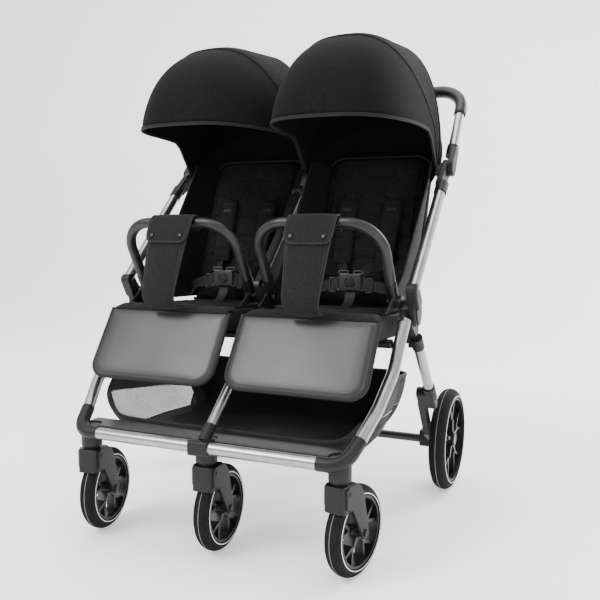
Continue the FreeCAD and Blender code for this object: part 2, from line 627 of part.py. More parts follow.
def make_buckles():
    """Five-point buckle housing, and the round button that presses into it."""
    by, bz = BUCKLE
    housing = box(-28, 28, by - 8, by + 8, bz - 20, bz + 20)
    housing = rounded(housing, 5, lambda edge: along(edge, 1))
    housing = rounded(housing, 2, lambda edge: at_face(edge, 1, (by - 8,)))
    well = Part.makeCylinder(12.5, 9, vec(0, by - 9, bz), vec(0, 1, 0))
    button = Part.makeCylinder(12, 5.5, vec(0, by - 10, bz), vec(0, 1, 0))
    button = button.makeFillet(1.5, [edge for edge in button.Edges if at_face(edge, 1, (by - 10,))])
    save_pair("buckle", moved(housing.cut(well), x=SEAT_PITCH / 2))
    save_pair("buckle_button", moved(button, x=SEAT_PITCH / 2))


def make_calf_rests():
    """Padded flap that hangs from the seat's front edge."""
    hinge_y, hinge_z = CALF_HINGE
    flap = box(-SEAT_HALF - 6, SEAT_HALF + 6, hinge_y - CALF_THICK, hinge_y, hinge_z - CALF_LENGTH, hinge_z + 4)
    flap = rounded(flap, 34, lambda edge: along(edge, 1) and edge.BoundBox.ZMax < hinge_z - 100)
    flap = rounded(flap, 6, lambda edge: at_face(edge, 1, (hinge_y - CALF_THICK, hinge_y)))
    flap = flap.fuse(cylinder_x(5, -130, 130, hinge_y, hinge_z)).removeSplitter()
    flap = turned(flap, vec(0, hinge_y, hinge_z), vec(1, 0, 0), -CALF_LEAN)
    save_pair("calf_rest", moved(flap, x=SEAT_PITCH / 2))


def make_bumper_bars():
    """Bent bar with pivot eyes at its feet."""
    path = [(-BUMPER_HALF,) + BUMPER_PIVOT, (-BUMPER_HALF,) + BUMPER_TOP,
            (BUMPER_HALF,) + BUMPER_TOP, (BUMPER_HALF,) + BUMPER_PIVOT]
    bar = rod(path, BUMPER_R, 75)
    for side in (-1, 1):
        eye = cylinder_x(14, side * BUMPER_HALF - 11, side * BUMPER_HALF + 11, *BUMPER_PIVOT)
        bar = bar.fuse(eye)
        bore = cylinder_x(4 + RUNNING_GAP, side * BUMPER_HALF - 20, side * BUMPER_HALF + 20, *BUMPER_PIVOT)
        bar = bar.cut(bore)
    save_pair("bumper_bar", moved(bar.removeSplitter(), x=SEAT_PITCH / 2))


CROTCH_FLAP = [(-224, 700), (-237, 672), (-262, 610), (-282, 556), (-276, 530), (-262, 517)]


def make_crotch_flaps():
    """Fabric gusset from the bumper bar down to the seat's front edge."""
    front = CROTCH_FLAP
    back = [(y + 5, z + 2) for y, z in reversed(CROTCH_FLAP)]
    flap = prism_x(front + back, -55, 55)
    save_pair("crotch_flap", moved(flap, x=SEAT_PITCH / 2))


# ---- canopies -----------------------------------------------------------------------
def canopy_segment(inset, first, last):
    """Arched skin turned about the canopy pivot between two angles above forward."""
    half = CANOPY_HALF - inset
    radius = CANOPY_R - inset
    outer = arch(half, radius, CANOPY_CORNER)
    inner = arch(half - CANOPY_SKIN, radius - CANOPY_SKIN, CANOPY_CORNER - CANOPY_SKIN)
    foot = [Part.makeLine(outer.Vertexes[0].Point, inner.Vertexes[0].Point),
            Part.makeLine(outer.Vertexes[-1].Point, inner.Vertexes[-1].Point)]
    profile = Part.Face(Part.Wire(Part.__sortEdges__(outer.Edges + inner.Edges + foot)))
    profile = turned(profile, vec(0, 0, 0), vec(1, 0, 0), 90 - first)
    swept = profile.revolve(vec(0, 0, 0), vec(-1, 0, 0), last - first)
    return moved(swept, y=CANOPY_PIVOT[0], z=CANOPY_PIVOT[1])


def arch(half, radius, corner):
    """Open arch over the pivot in the XZ plane: straight sides and rounded shoulders."""
    foot = 62.0
    slant = corner * math.sqrt(0.5)
    side = half - corner
    shoulder = radius - corner
    return Part.Wire([
        Part.makeLine(vec(-half, 0, foot), vec(-half, 0, shoulder)),
        Part.Arc(vec(-half, 0, shoulder), vec(-side - slant, 0, shoulder + slant),
                 vec(-side, 0, radius)).toShape(),
        Part.makeLine(vec(-side, 0, radius), vec(side, 0, radius)),
        Part.Arc(vec(side, 0, radius), vec(side + slant, 0, shoulder + slant),
                 vec(half, 0, shoulder)).toShape(),
        Part.makeLine(vec(half, 0, shoulder), vec(half, 0, foot)),
    ])


# inset from the outermost layer, then first and last angle above straight ahead
CANOPY_REAR = (0, 85, 124)
CANOPY_MIDDLE = (6, 48, 87)
CANOPY_FRONT = (12, 14, 50)


def make_canopies():
    """The rear layer is fixed; the middle and front layers slide under it."""
    save_twins("canopy_rear", moved(canopy_segment(*CANOPY_REAR), x=SEAT_PITCH / 2))
    save_pair("canopy_middle", moved(canopy_segment(*CANOPY_MIDDLE), x=SEAT_PITCH / 2))
    save_pair("canopy_front", moved(canopy_segment(*CANOPY_FRONT), x=SEAT_PITCH / 2))


# ---- basket -------------------------------------------------------------------------
BASKET_OUTER = [(-312, 262), (-290, 224), (-200, 205), (-60, 190), (25, 200), (78, 340), (-150, 352)]
BASKET_INNER = [(-300, 275), (-284, 230), (-199, 210), (-61, 195), (21, 205), (72, 346), (-150, 380)]
BASKET_HALF = 326.0
BASKET_REAR_HALF = 309.0      # narrower at the back, where the rear legs fold past it
BASKET_TAPER = (-95.0, -55.0)     # y where it starts and stops narrowing
BASKET_WALL = 5.0


def basket_plan(inset):
    """Upright prism of the basket's outline from above."""
    front, rear = BASKET_HALF - inset, BASKET_REAR_HALF - inset
    first, last = BASKET_TAPER
    half = [(front, -330), (front, first), (rear, last), (rear, 100)]
    points = [vec(x, y, 150) for x, y in half] + [vec(-x, y, 150) for x, y in reversed(half)]
    return Part.Face(Part.makePolygon(points + points[:1])).extrude(vec(0, 0, 300))


def make_basket():
    """Fabric tray slung between the front frame and the rear legs."""
    outer = prism_x(BASKET_OUTER, -BASKET_HALF, BASKET_HALF).common(basket_plan(0))
    inner = prism_x(BASKET_INNER, -BASKET_HALF, BASKET_HALF).common(basket_plan(BASKET_WALL))
    tray = outer.cut(inner)
    save("basket", max(tray.Solids, key=lambda solid: solid.Volume))


for make in (make_casters, make_front_bar, make_side_tubes, make_front_corners, make_centre_block,
             make_centre_strut, make_footboard, make_lower_hubs, make_centre_hub, make_upper_hubs,
             make_push_tubes, make_centre_post, make_handle_joints, make_handle, make_rear_legs,
             make_rear_hinges, make_rear_brackets, make_rear_axle, make_brake_pedal,
             make_rear_wheels, make_seat_frame, make_seat_pads, make_backrests, make_buckles,
             make_calf_rests, make_bumper_bars, make_crotch_flaps, make_canopies, make_basket):
    make()
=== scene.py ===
"""Looks of a twin side-by-side pushchair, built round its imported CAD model.

Metres, +Z up.  The pushchair faces -Y; left is +X.
"""
import math
import bmesh
import bpy
import numpy as np
from mathutils import Matrix, Vector


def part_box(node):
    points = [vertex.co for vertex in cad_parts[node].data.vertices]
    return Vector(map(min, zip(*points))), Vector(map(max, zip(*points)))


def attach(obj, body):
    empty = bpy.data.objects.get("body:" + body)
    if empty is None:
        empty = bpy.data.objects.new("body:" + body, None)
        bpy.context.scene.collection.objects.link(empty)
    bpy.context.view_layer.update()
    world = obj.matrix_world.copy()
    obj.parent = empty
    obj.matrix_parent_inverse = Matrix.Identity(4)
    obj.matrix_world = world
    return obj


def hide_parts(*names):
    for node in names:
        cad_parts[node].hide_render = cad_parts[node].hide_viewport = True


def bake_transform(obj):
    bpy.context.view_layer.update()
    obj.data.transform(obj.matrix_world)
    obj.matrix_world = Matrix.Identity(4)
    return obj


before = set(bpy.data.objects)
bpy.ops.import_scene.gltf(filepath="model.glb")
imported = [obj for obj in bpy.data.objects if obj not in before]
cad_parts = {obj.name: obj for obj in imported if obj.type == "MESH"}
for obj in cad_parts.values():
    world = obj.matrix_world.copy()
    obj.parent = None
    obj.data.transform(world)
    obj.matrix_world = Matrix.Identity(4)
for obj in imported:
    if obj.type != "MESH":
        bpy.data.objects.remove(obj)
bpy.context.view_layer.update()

SIDES = {"left": 1.0, "right": -1.0}
SEAT_X = 0.1755

# ---- Frame tubes --------------------------------------------------------------------
# Drawn aluminium tube, 26 mm, satin anodised: a soft even gloss, faintly mottled in tone
# and roughness, with the fine lengthwise draw mark left off.  They are CAD pieces and only take their finish here.


def linear(code):
    """sRGB hex colour to linear RGBA."""
    shares = [int(code[i:i + 2], 16) / 255 for i in (1, 3, 5)]
    return [s / 12.92 if s <= 0.04045 else ((s + 0.055) / 1.055) ** 2.4 for s in shares] + [1.0]


def node(tree, kind, sockets=None, **settings):
    """Adds a shader or geometry node, sets its properties and sockets, and links what it is given."""
    made = tree.nodes.new(kind)
    for key, value in settings.items():
        setattr(made, key, value)
    for key, value in (sockets or {}).items():
        if isinstance(value, bpy.types.NodeSocket):
            tree.links.new(value, made.inputs[key])
        else:
            made.inputs[key].default_value = value
    return made


def finish(name, colour, roughness, **sockets):
    """A material whose constants sit on its own shader."""
    material = bpy.data.materials.new(name)
    material.use_nodes = True
    tree = material.node_tree
    tree.nodes.clear()
    sockets = {key.replace("_", " "): value for key, value in sockets.items()}
    shader = node(tree, "ShaderNodeBsdfPrincipled",
                  {"Base Color": linear(colour), "Roughness": roughness, **sockets})
    shader.name = "shader"
    node(tree, "ShaderNodeOutputMaterial", {"Surface": shader.outputs[0]})
    return material


# a wave texture at scale 1 has about this many bands to the metre
WAVE_BANDS = 3.14


def cloud(tree, scale, stretch, detail):
    """Noise in object space, in cells per metre."""
    place = node(tree, "ShaderNodeTexCoord")
    turn = node(tree, "ShaderNodeMapping", {"Vector": place.outputs["Object"], "Scale": stretch})
    return node(tree, "ShaderNodeTexNoise",
                {"Vector": turn.outputs[0], "Scale": scale, "Detail": detail}).outputs[0]


def two_tone(tree, share, low, high, stops):
    """Base colour between two hex colours."""
    ramp = node(tree, "ShaderNodeValToRGB", {"Fac": share})
    for stop, code, position in zip(ramp.color_ramp.elements, (low, high), stops):
        stop.color = linear(code)
        stop.position = position
    tree.links.new(ramp.outputs[0], tree.nodes["shader"].inputs["Base Color"])


def relief(tree, height, depth, strength):
    bump = node(tree, "ShaderNodeBump", {"Height": height, "Distance": depth, "Strength": strength})
    tree.links.new(bump.outputs[0], tree.nodes["shader"].inputs["Normal"])


def vary(material, scale, low, high, rough=None):
    """Mottles the base colour between two hex colours, and the roughness if a range is given."""
    tree = material.node_tree
    share = cloud(tree, scale, (1, 1, 1), 3.0)
    two_tone(tree, share, low, high, (0.3, 0.7))
    if rough:
        spread = node(tree, "ShaderNodeMapRange", {"Value": share, "To Min": rough[0], "To Max": rough[1]})
        tree.links.new(spread.outputs[0], tree.nodes["shader"].inputs["Roughness"])


def grain(material, scale, depth, stretch=(1, 1, 1), detail=2.0):
    """Fine relief from noise; scale is cells per metre and depth is in metres."""
    tree = material.node_tree
    relief(tree, cloud(tree, scale, stretch, detail), depth, 1.0)


def paint(data, material):
    """Gives a mesh its only material, and shades it smooth."""
    data.materials.clear()
    data.materials.append(material)
    data.polygons.foreach_set("use_smooth", [True] * len(data.polygons))


def dress(name, material, angle=32.0):
    """Gives a CAD node its finish, with its loose triangles joined and shaded smooth between edges."""
    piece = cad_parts[name]
    paint(piece.data, material)
    weld = piece.modifiers.new("joined", "WELD")
    weld.merge_threshold = 0.00002
    split = piece.modifiers.new("edges", "EDGE_SPLIT")
    split.split_angle = math.radians(angle)


aluminium = finish("satin_anodised_aluminium", "#9C9D9F", 0.3, Metallic=1.0)
vary(aluminium, 60, "#949597", "#A6A7A9", rough=(0.27, 0.34))
for name in ("front_bar", "side_tubes", "centre_strut", "push_tubes", "rear_legs", "handle_risers"):
    dress(name, aluminium, 50)

# Hidden cross members and the centre post are steel, powder coated black.
powder_coat = finish("black_powder_coated_steel", "#141415", 0.42)
grain(powder_coat, 1500, 0.00005)
for name in ("centre_post", "seat_frame", "rear_axle"):
    dress(name, powder_coat)

# ---- Nylon mouldings ----------------------------------------------------------------
# Corner elbows, hubs, brackets, forks and joints: glass-filled nylon, injection moulded.
# Nearly black, semi-matt, with the fine spark-eroded grain of the mould.
nylon = finish("glass_filled_nylon", "#0E0E0F", 0.44, Specular_IOR_Level=0.28)
vary(nylon, 25, "#0B0B0C", "#111112", rough=(0.42, 0.52))
grain(nylon, 1600, 0.00006)
NYLON_NODES = ["centre_block", "hub_lower_centre", "handle_joints", "handle_knuckles", "rear_hinges",
               "brake_pedal", "caster_fork_left", "caster_fork_centre", "caster_fork_right"]
NYLON_NODES += [stem + side for stem in ("front_corner_", "hub_lower_", "hub_upper_", "rear_bracket_")
                for side in SIDES]
for name in NYLON_NODES:
    dress(name, nylon)

# The foot ledge behind the cross bar is a greyer, ribbed moulding.
ledge_nylon = finish("grey_ledge_nylon", "#262627", 0.5, Specular_IOR_Level=0.35)
grain(ledge_nylon, 1600, 0.00006)
dress("footboard", ledge_nylon)

# ---- Wheels -------------------------------------------------------------------------
# Foamed rubber tyres on moulded rims.  The tread has a fine knurl either side of a
# light moulding line, and a thin white ring is painted on each side wall.


def link(name, data):
    """Puts data into the scene as an object."""
    made = bpy.data.objects.new(name, data)
    bpy.context.scene.collection.objects.link(made)
    return made


def wear(slot, body, *pieces):
    """Hangs some pieces on the body they ride on; the slot is not used."""
    for piece in pieces:
        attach(piece, body)


def signed(value, power):
    """A power that keeps the sign."""
    return math.copysign(abs(value) ** power, value)


def new_piece(name, points, faces, materials, uv=None, smooth=True):
    """A mesh object from points and faces, with optional UVs for each point."""
    data = bpy.data.meshes.new(name)
    data.from_pydata([tuple(p) for p in points], [], [tuple(f) for f in faces])
    if uv is not None:
        layer = data.uv_layers.new(name="UVMap")
        corner_points = np.empty(len(data.loops), int)
        data.loops.foreach_get("vertex_index", corner_points)
        layer.data.foreach_set("uv", np.asarray(uv, float)[corner_points].ravel())
    for material in materials:
        data.materials.append(material)
    data.polygons.foreach_set("use_smooth", [smooth] * len(data.polygons))
    data.update()
    return link(name, data)


def grid_faces(rows, columns, close_rows=False, close_columns=False):
    """Quads over a grid of points stored row by row."""
    faces = []
    for i in range(rows if close_rows else rows - 1):
        for j in range(columns if close_columns else columns - 1):
            a, b = i * columns + j, i * columns + (j + 1) % columns
            c, d = ((i + 1) % rows) * columns + (j + 1) % columns, ((i + 1) % rows) * columns + j
            faces.append((a, b, c, d))
    return faces


def mend(piece):
    """Turns every face outwards."""
    shape = bmesh.new()
    shape.from_mesh(piece.data)
    bmesh.ops.recalc_face_normals(shape, faces=shape.faces)
    shape.to_mesh(piece.data)
    shape.free()


tyre_rubber = finish("foamed_tyre_rubber", "#0D0D0E", 0.8, Specular_IOR_Level=0.22)
vary(tyre_rubber, 90, "#0A0A0B", "#121213")
grain(tyre_rubber, 190, 0.0011)
moulding_line = finish("tyre_moulding_line", "#6E6E70", 0.7)
grain(moulding_line, 900, 0.00005)
ring_paint = finish("white_ring_paint", "#E9E9EA", 0.42)
grain(ring_paint, 700, 0.00003)


def tyre(name, cad_node, body, centre, turn, radius, section, ring_radius):
    """Round-section tyre: knurled tread, moulding line and side-wall rings, seated on the rim."""
    around, across = 360, 48
    seat = math.radians(93)
    ring_angle = math.acos((ring_radius - radius + section) / section)
    angles = np.linspace(-seat, seat, across)
    for mark in (ring_angle - 0.045, ring_angle + 0.045):
        for sign in (-1, 1):
            angles[np.argmin(abs(angles - sign * mark))] = sign * mark
    points = []
    for i in range(around):
        spin = 2 * math.pi * i / around
        for j, angle in enumerate(angles):
            grow = section
            if 0.14 < abs(angle) < 0.98:
                grow += 0.0005 if (i + j) % 2 else -0.0004
            if 0.98 <= abs(angle) < 1.06:
                grow -= 0.0008
            reach = radius - section + grow * math.cos(angle)
            points.append((grow * math.sin(angle), reach * math.cos(spin), reach * math.sin(spin)))
    faces = grid_faces(around, across, close_rows=True, close_columns=True)
    piece = new_piece(name, points, faces, (tyre_rubber, moulding_line, ring_paint))
    middles = np.r_[(angles[:-1] + angles[1:]) / 2, math.pi]
    for index, face in enumerate(piece.data.polygons):
        middle = abs(middles[index % across])
        if middle < 0.06:
            face.material_index = 1
        elif abs(middle - ring_angle) < 0.05:
            face.material_index = 2
    piece.data.transform(Matrix.Translation(centre) @ Matrix.Rotation(-math.radians(turn), 4, "Z"))
    mend(piece)
    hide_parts(cad_node)
    wear("tyre_foam", body, piece)


def centre_of(name):
    low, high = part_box(name)
    return (low + high) / 2


CASTER_TURN = {"left": 10.8, "centre": -1.3, "right": -8.1}
for place, turn in CASTER_TURN.items():
    tyre("tyre_front_" + place, "front_tyre_" + place, "front_wheel_" + place,
         centre_of("front_tyre_" + place), turn, 0.093, 0.019, 0.0768)
for side in SIDES:
    tyre("tyre_rear_" + side, "rear_tyre_" + side, "rear_wheel_" + side,
         centre_of("rear_tyre_" + side), 0.0, 0.133, 0.022, 0.1142)

# Rims are moulded nylon, a little glossier than the frame parts.
rim_nylon = finish("moulded_rim_nylon", "#0F0F10", 0.36, Specular_IOR_Level=0.4)
grain(rim_nylon, 1300, 0.00004)
for place in ("left", "centre", "right"):
    dress("front_rim_" + place, rim_nylon)
for side in SIDES:
    dress("rear_rim_" + side, rim_nylon)

# ---- Canopies -----------------------------------------------------------------------
# Each hood is one sewn sheet of black melange polyester over three hidden bows, with a
# grosgrain binding on the front edge and two topstitched seams where the bows run.

HOOD_TIP = (0.150, 0.831)
HOOD_CENTRE = (0.1895, 0.9203)
HOOD_FRONT, HOOD_BACK, HOOD_RISE = 0.3900, 0.128, 0.2395
HOOD_SIDE_POWER, HOOD_ARCH_POWER, HOOD_HALF = 2.211, 2.64, 0.1738
HOOD_EDGE = (math.radians(16.3), math.radians(51.6))
HOOD_LAST = math.radians(139)

hood_cloth = finish("melange_hood_polyester", "#0B0B0C", 0.92,
                    Specular_IOR_Level=0.12, Sheen_Weight=0.01, Sheen_Roughness=0.5)


def weave(material, pitch, depth, low, high):
    """Plain weave on the piece's own UVs, which are in metres, with a fleck of lighter yarn."""
    tree = material.node_tree
    place = node(tree, "ShaderNodeUVMap", uv_map="UVMap")
    threads = 1.0 / pitch
    spot = place.outputs[0]
    warp, weft = [
        node(tree, "ShaderNodeTexWave", {"Vector": spot, "Scale": threads / WAVE_BANDS, "Distortion": 0.6},
             bands_direction=axis).outputs["Fac"] for axis in "XY"]
    cross = node(tree, "ShaderNodeMath", {0: warp, 1: weft}, operation="MULTIPLY")
    fleck = node(tree, "ShaderNodeTexNoise", {"Vector": spot, "Scale": threads / 4, "Detail": 3.0})
    two_tone(tree, fleck.outputs[0], low, high, (0.35, 0.72))
    relief(tree, cross.outputs[0], depth, 0.8)


# yarn is about 0.4 mm; drawn at 1.6 mm so that it shows
weave(hood_cloth, 0.0016, 0.0002, "#080809", "#101011")
binding_tape = finish("grosgrain_binding", "#131314", 0.78, Specular_IOR_Level=0.2, Sheen_Weight=0.02)
grain(binding_tape, 900, 0.0002, stretch=(1, 1, 4))


def hood_radius(angle):
    """Distance from the hood's tip to its outline, along an angle above straight ahead."""
    low, high = 0.0, 0.9
    for _ in range(36):
        reach = (low + high) / 2
        y = HOOD_TIP[0] - reach * math.cos(angle) - HOOD_CENTRE[0]
        z = HOOD_TIP[1] + reach * math.sin(angle) - HOOD_CENTRE[1]
        half = HOOD_FRONT if y < 0 else HOOD_BACK
        power = HOOD_SIDE_POWER + (0.45 if y < 0 else 0.0)
        inside = abs(y / half) ** power + abs(z / HOOD_RISE) ** power < 1
        low, high = (reach, high) if inside else (low, reach)
    return low


HOOD_TABLE = [hood_radius(math.radians(a)) for a in range(0, 181)]
HOOD_SEAMS = (0.33, 0.66)
HOOD_HEM = HOOD_TABLE[30] * math.sin(HOOD_EDGE[0])


def hood_point(along, across, sink=0.0):
    """Point on a hood: along runs from the front edge (0) to the back (1), across from -1 to 1."""
    lean = across * math.pi / 2
    power = HOOD_ARCH_POWER + 0.55 * max(0.0, 1 - along / 0.4)
    wide = signed(math.sin(lean), 2 / power)
    tall = max(abs(math.cos(lean)) ** (2 / power), 0.04)
    # the visor's hem is nearly level; behind its corner the edge is the middle bow, down to the tip
    hem = (HOOD_HEM - 0.020 * (1 - tall)) / (HOOD_TABLE[30] * tall)
    edge = min(HOOD_EDGE[1], math.asin(min(1.0, hem)))
    angle = edge + (HOOD_LAST - edge) * along
    spot = math.degrees(angle)
    reach = np.interp(spot, range(181), HOOD_TABLE)
    # the cloth pulls in a little between the bows
    sag = 0.0045 * math.sin(3 * math.pi * along) ** 2 * min(1.0, 2.2 * tall)
    step = 0.006 / (1 + math.exp((along - HOOD_SEAMS[0]) / 0.012)) * min(1.0, along / 0.1)
    reach = (reach - sag - step - sink) * tall
    return Vector((wide * (HOOD_HALF - sink),
                   HOOD_TIP[0] - reach * math.cos(angle),
                   HOOD_TIP[1] + reach * math.sin(angle)))


def hood(side):
    x = SIDES[side] * SEAT_X
    rows, columns = 61, 73
    points, uv = [], []
    for i in range(rows):
        for j in range(columns):
            along, over = i / (rows - 1), j / (columns - 1)
            points.append(hood_point(along, -1 + 2 * over) + Vector((x, 0, 0)))
            uv.append((0.50 * along, 0.86 * over))
    piece = new_piece("hood_" + side, points, grid_faces(rows, columns), (hood_cloth,), uv)
    thicken(piece, 0.0016, -1.0)
    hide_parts("canopy_rear", "canopy_middle_" + side, "canopy_front_" + side)
    return piece


def baked(piece):
    """The mesh that an object comes to with its modifiers."""
    bpy.context.view_layer.update()
    graph = bpy.context.evaluated_depsgraph_get()
    return bpy.data.meshes.new_from_object(piece.evaluated_get(graph), depsgraph=graph)


def apply_modifiers(piece):
    """Bakes the modifiers into the mesh."""
    data = baked(piece)
    data.name = piece.name
    piece.modifiers.clear()
    piece.data = data


def thicken(piece, thickness, offset):
    """Gives a sheet its thickness."""
    body = piece.modifiers.new("thickness", "SOLIDIFY")
    body.thickness = thickness
    body.offset = offset
    apply_modifiers(piece)


def ribbon(name, path, normals, width, thick, material):
    """Flat band of even width that follows a path, lying square to the given normals."""
    count = len(path)
    points = []
    for i, (p, up) in enumerate(zip(path, normals)):
        run = (path[min(i + 1, count - 1)] - path[max(i - 1, 0)]).normalized()
        up = (up - run * up.dot(run)).normalized()
        out = run.cross(up)
        for a, b in ((-1, -1), (1, -1), (1, 1), (-1, 1)):
            points.append(p + out * (a * width / 2) + up * (b * thick / 2))
    faces = grid_faces(count, 4, close_columns=True)
    faces += [(3, 2, 1, 0), tuple(4 * (count - 1) + k for k in range(4))]
    piece = new_piece(name, points, faces, (material,), smooth=False)
    lengths = np.cumsum([0] + [(b - a).length for a, b in zip(path, path[1:])])
    layer = piece.data.uv_layers.new(name="UVMap")
    for loop in piece.data.loops:
        row, corner = divmod(loop.vertex_index, 4)
        layer.data[loop.index].uv = (lengths[row], width * (corner in (1, 2)))
    mend(piece)
    return piece


def tube_piece(name, path, radius, material, closed=False, sides=12):
    """Round cord or tube along a smooth path."""
    curve = bpy.data.curves.new(name, "CURVE")
    curve.dimensions = "3D"
    curve.bevel_depth = radius
    curve.bevel_resolution = sides // 4
    curve.use_fill_caps = True
    line = curve.splines.new("POLY")
    line.points.add(len(path) - 1)
    for spot, p in zip(line.points, path):
        spot.co = (*p, 1)
    line.use_cyclic_u = closed
    holder = link(name, curve)
    data = baked(holder)
    bpy.data.objects.remove(holder)
    paint(data, material)
    return link(name, data)


def hood_line(side, along, sink, steps=72):
    """Path and outward normals across a hood at one place along it."""
    x = SIDES[side] * SEAT_X
    path, normals = [], []
    for k in range(steps + 1):
        across = -1 + 2 * k / steps
        p = hood_point(along, across, sink)
        back = (hood_point(min(1.0, along + 0.01), across, sink)
                - hood_point(max(0.0, along - 0.01), across, sink))
        over = (hood_point(along, min(1.0, across + 0.01), sink)
                - hood_point(along, max(-1.0, across - 0.01), sink))
        path.append(p + Vector((x, 0, 0)))
        normals.append(over.cross(back).normalized())
    return path, normals


# where the cloth starts to follow the visor, and where it is held by the frame
for side in SIDES:
    parts = [hood(side)]
    path, normals = hood_line(side, 0.0, 0.0)
    parts.append(ribbon("hood_binding_" + side, path, normals, 0.007, 0.0046, binding_tape))
    for index, along in enumerate(HOOD_SEAMS):
        path, normals = hood_line(side, along, -0.0006)
        parts.append(ribbon(f"hood_seam_{index}_{side}", path, normals, 0.0032, 0.0016, hood_cloth))
    path, normals = hood_line(side, 1.0, 0.0)
    parts.append(ribbon("hood_hem_" + side, path, normals, 0.010, 0.004, hood_cloth))
    for part in parts:
        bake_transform(part)

# ---- Stitching ----------------------------------------------------------------------
# Topstitching is laid as short raised thread lengths along a path, by one node group.
thread = finish("bonded_nylon_thread", "#2F2F31", 0.55)
grain(thread, 2000, 0.00002)


def stitch_group():
    """Geometry nodes: thread lengths at an even pitch along a wire."""
    tree = bpy.data.node_groups.new("topstitch", "GeometryNodeTree")
    sockets = (("Geometry", "NodeSocketGeometry"), ("Pitch", "NodeSocketFloat"),
               ("Length", "NodeSocketFloat"),
               ("Radius", "NodeSocketFloat"), ("Thread", "NodeSocketMaterial"))
    for label, kind in sockets:
        tree.interface.new_socket(label, in_out="INPUT", socket_type=kind)
    tree.interface.new_socket("Geometry", in_out="OUTPUT", socket_type="NodeSocketGeometry")
    given = node(tree, "NodeGroupInput")
    wire = node(tree, "GeometryNodeMeshToCurve", {0: given.outputs["Geometry"]})
    spots = node(tree, "GeometryNodeCurveToPoints", {0: wire.outputs[0], "Length": given.outputs["Pitch"]},
                 mode="LENGTH")
    one = node(tree, "GeometryNodeMeshCylinder",
               {"Vertices": 6, "Radius": given.outputs["Radius"], "Depth": given.outputs["Length"]})
    copies = node(tree, "GeometryNodeInstanceOnPoints",
                  {"Points": spots.outputs["Points"], "Instance": one.outputs["Mesh"],
                   "Rotation": spots.outputs["Rotation"]})
    solid = node(tree, "GeometryNodeRealizeInstances", {0: copies.outputs[0]})
    painted = node(tree, "GeometryNodeSetMaterial",
                   {"Geometry": solid.outputs[0], "Material": given.outputs["Thread"]})
    node(tree, "NodeGroupOutput", {0: painted.outputs[0]})
    return tree


TOPSTITCH = stitch_group()


def stitches(name, path, pitch=0.0042, length=0.0028, radius=0.0004):
    """Thread lengths along a path, as one mesh."""
    data = bpy.data.meshes.new(name)
    data.from_pydata([tuple(p) for p in path], [(i, i + 1) for i in range(len(path) - 1)], [])
    piece = link(name, data)
    sewing = piece.modifiers.new("topstitch", "NODES")
    sewing.node_group = TOPSTITCH
    given = {"Pitch": pitch, "Length": length, "Radius": radius, "Thread": thread}
    for item in TOPSTITCH.interface.items_tree:
        if item.in_out == "INPUT" and item.name in given:
            sewing[item.identifier] = given[item.name]
    apply_modifiers(piece)
    return piece


def bent(points, radius, step=0.004):
    """Path through points with its corners rounded to a radius."""
    points = [Vector(p) for p in points]
    path = [points[0]]
    for before, corner, after in zip(points, points[1:], points[2:]):
        one, two = (before - corner).normalized(), (after - corner).normalized()
        turn = math.pi - one.angle(two)
        reach = radius * math.tan(turn / 2)
        middle = corner + (one + two).normalized() * (radius / math.cos(turn / 2))
        start, end = corner + one * reach, corner + two * reach
        axle = (start - middle).cross(end - middle)
        path += [middle + Matrix.Rotation(turn * k / 12, 3, axle) @ (start - middle) for k in range(13)]
    path.append(points[-1])
    even = [path[0]]
    for a, b in zip(path, path[1:]):
        count = max(1, round((b - a).length / step))
        even += [a.lerp(b, k / count) for k in range(1, count + 1)]
    return even


# ---- Parent's grip and bumper bars --------------------------------------------------
# Aluminium tube inside, EVA foam and glued leatherette outside, with the sleeve's seam
# hand stitched on the hidden side.  The bumper's feet are nylon sockets below a ring.
leatherette = finish("grained_leatherette", "#0E0E0F", 0.42,
                     Specular_IOR_Level=0.4, Coat_Weight=0.05, Coat_Roughness=0.35)
vary(leatherette, 18, "#090909", "#0E0E0F", rough=(0.36, 0.47))
grain(leatherette, 1100, 0.00014, detail=3.0)
dress("handle_grip", leatherette, 50)
GRIP_FOOT, GRIP_TOP, GRIP_X = (0.285, 0.987), (0.33567, 1.05394), 0.372
grip_path = bent([(GRIP_X, *GRIP_FOOT), (GRIP_X, *GRIP_TOP), (-GRIP_X, *GRIP_TOP), (-GRIP_X, *GRIP_FOOT)],
                 0.066)
under = Vector((0, -0.40, -0.92)).normalized()
grip_seam = stitches("grip_seam", [p + under * 0.0153 for p in grip_path[20:-20]], 0.006, 0.0042, 0.0005)
wear("grip_leatherette", "handle", grip_seam)
for side, x in SIDES.items():
    rise = Vector((0, GRIP_TOP[0] - GRIP_FOOT[0], GRIP_TOP[1] - GRIP_FOOT[1])).normalized()
    foot = Vector((x * GRIP_X, *GRIP_FOOT))
    ring = tube_piece("grip_collar_" + side, [foot - rise * 0.005, foot + rise * 0.003],
                      0.0148, nylon, sides=16)
    wear("black_nylon", "handle", ring)

BUMPER_HALF, BUMPER_R = 0.148, 0.012
BUMPER_FOOT, BUMPER_TOP = (-0.110, 0.535), (-0.206, 0.708)


def bumper_path(x):
    """Centre line of one bumper bar."""
    left, right = x - BUMPER_HALF, x + BUMPER_HALF
    return bent([(left, *BUMPER_FOOT), (left, *BUMPER_TOP), (right, *BUMPER_TOP), (right, *BUMPER_FOOT)],
                0.075)


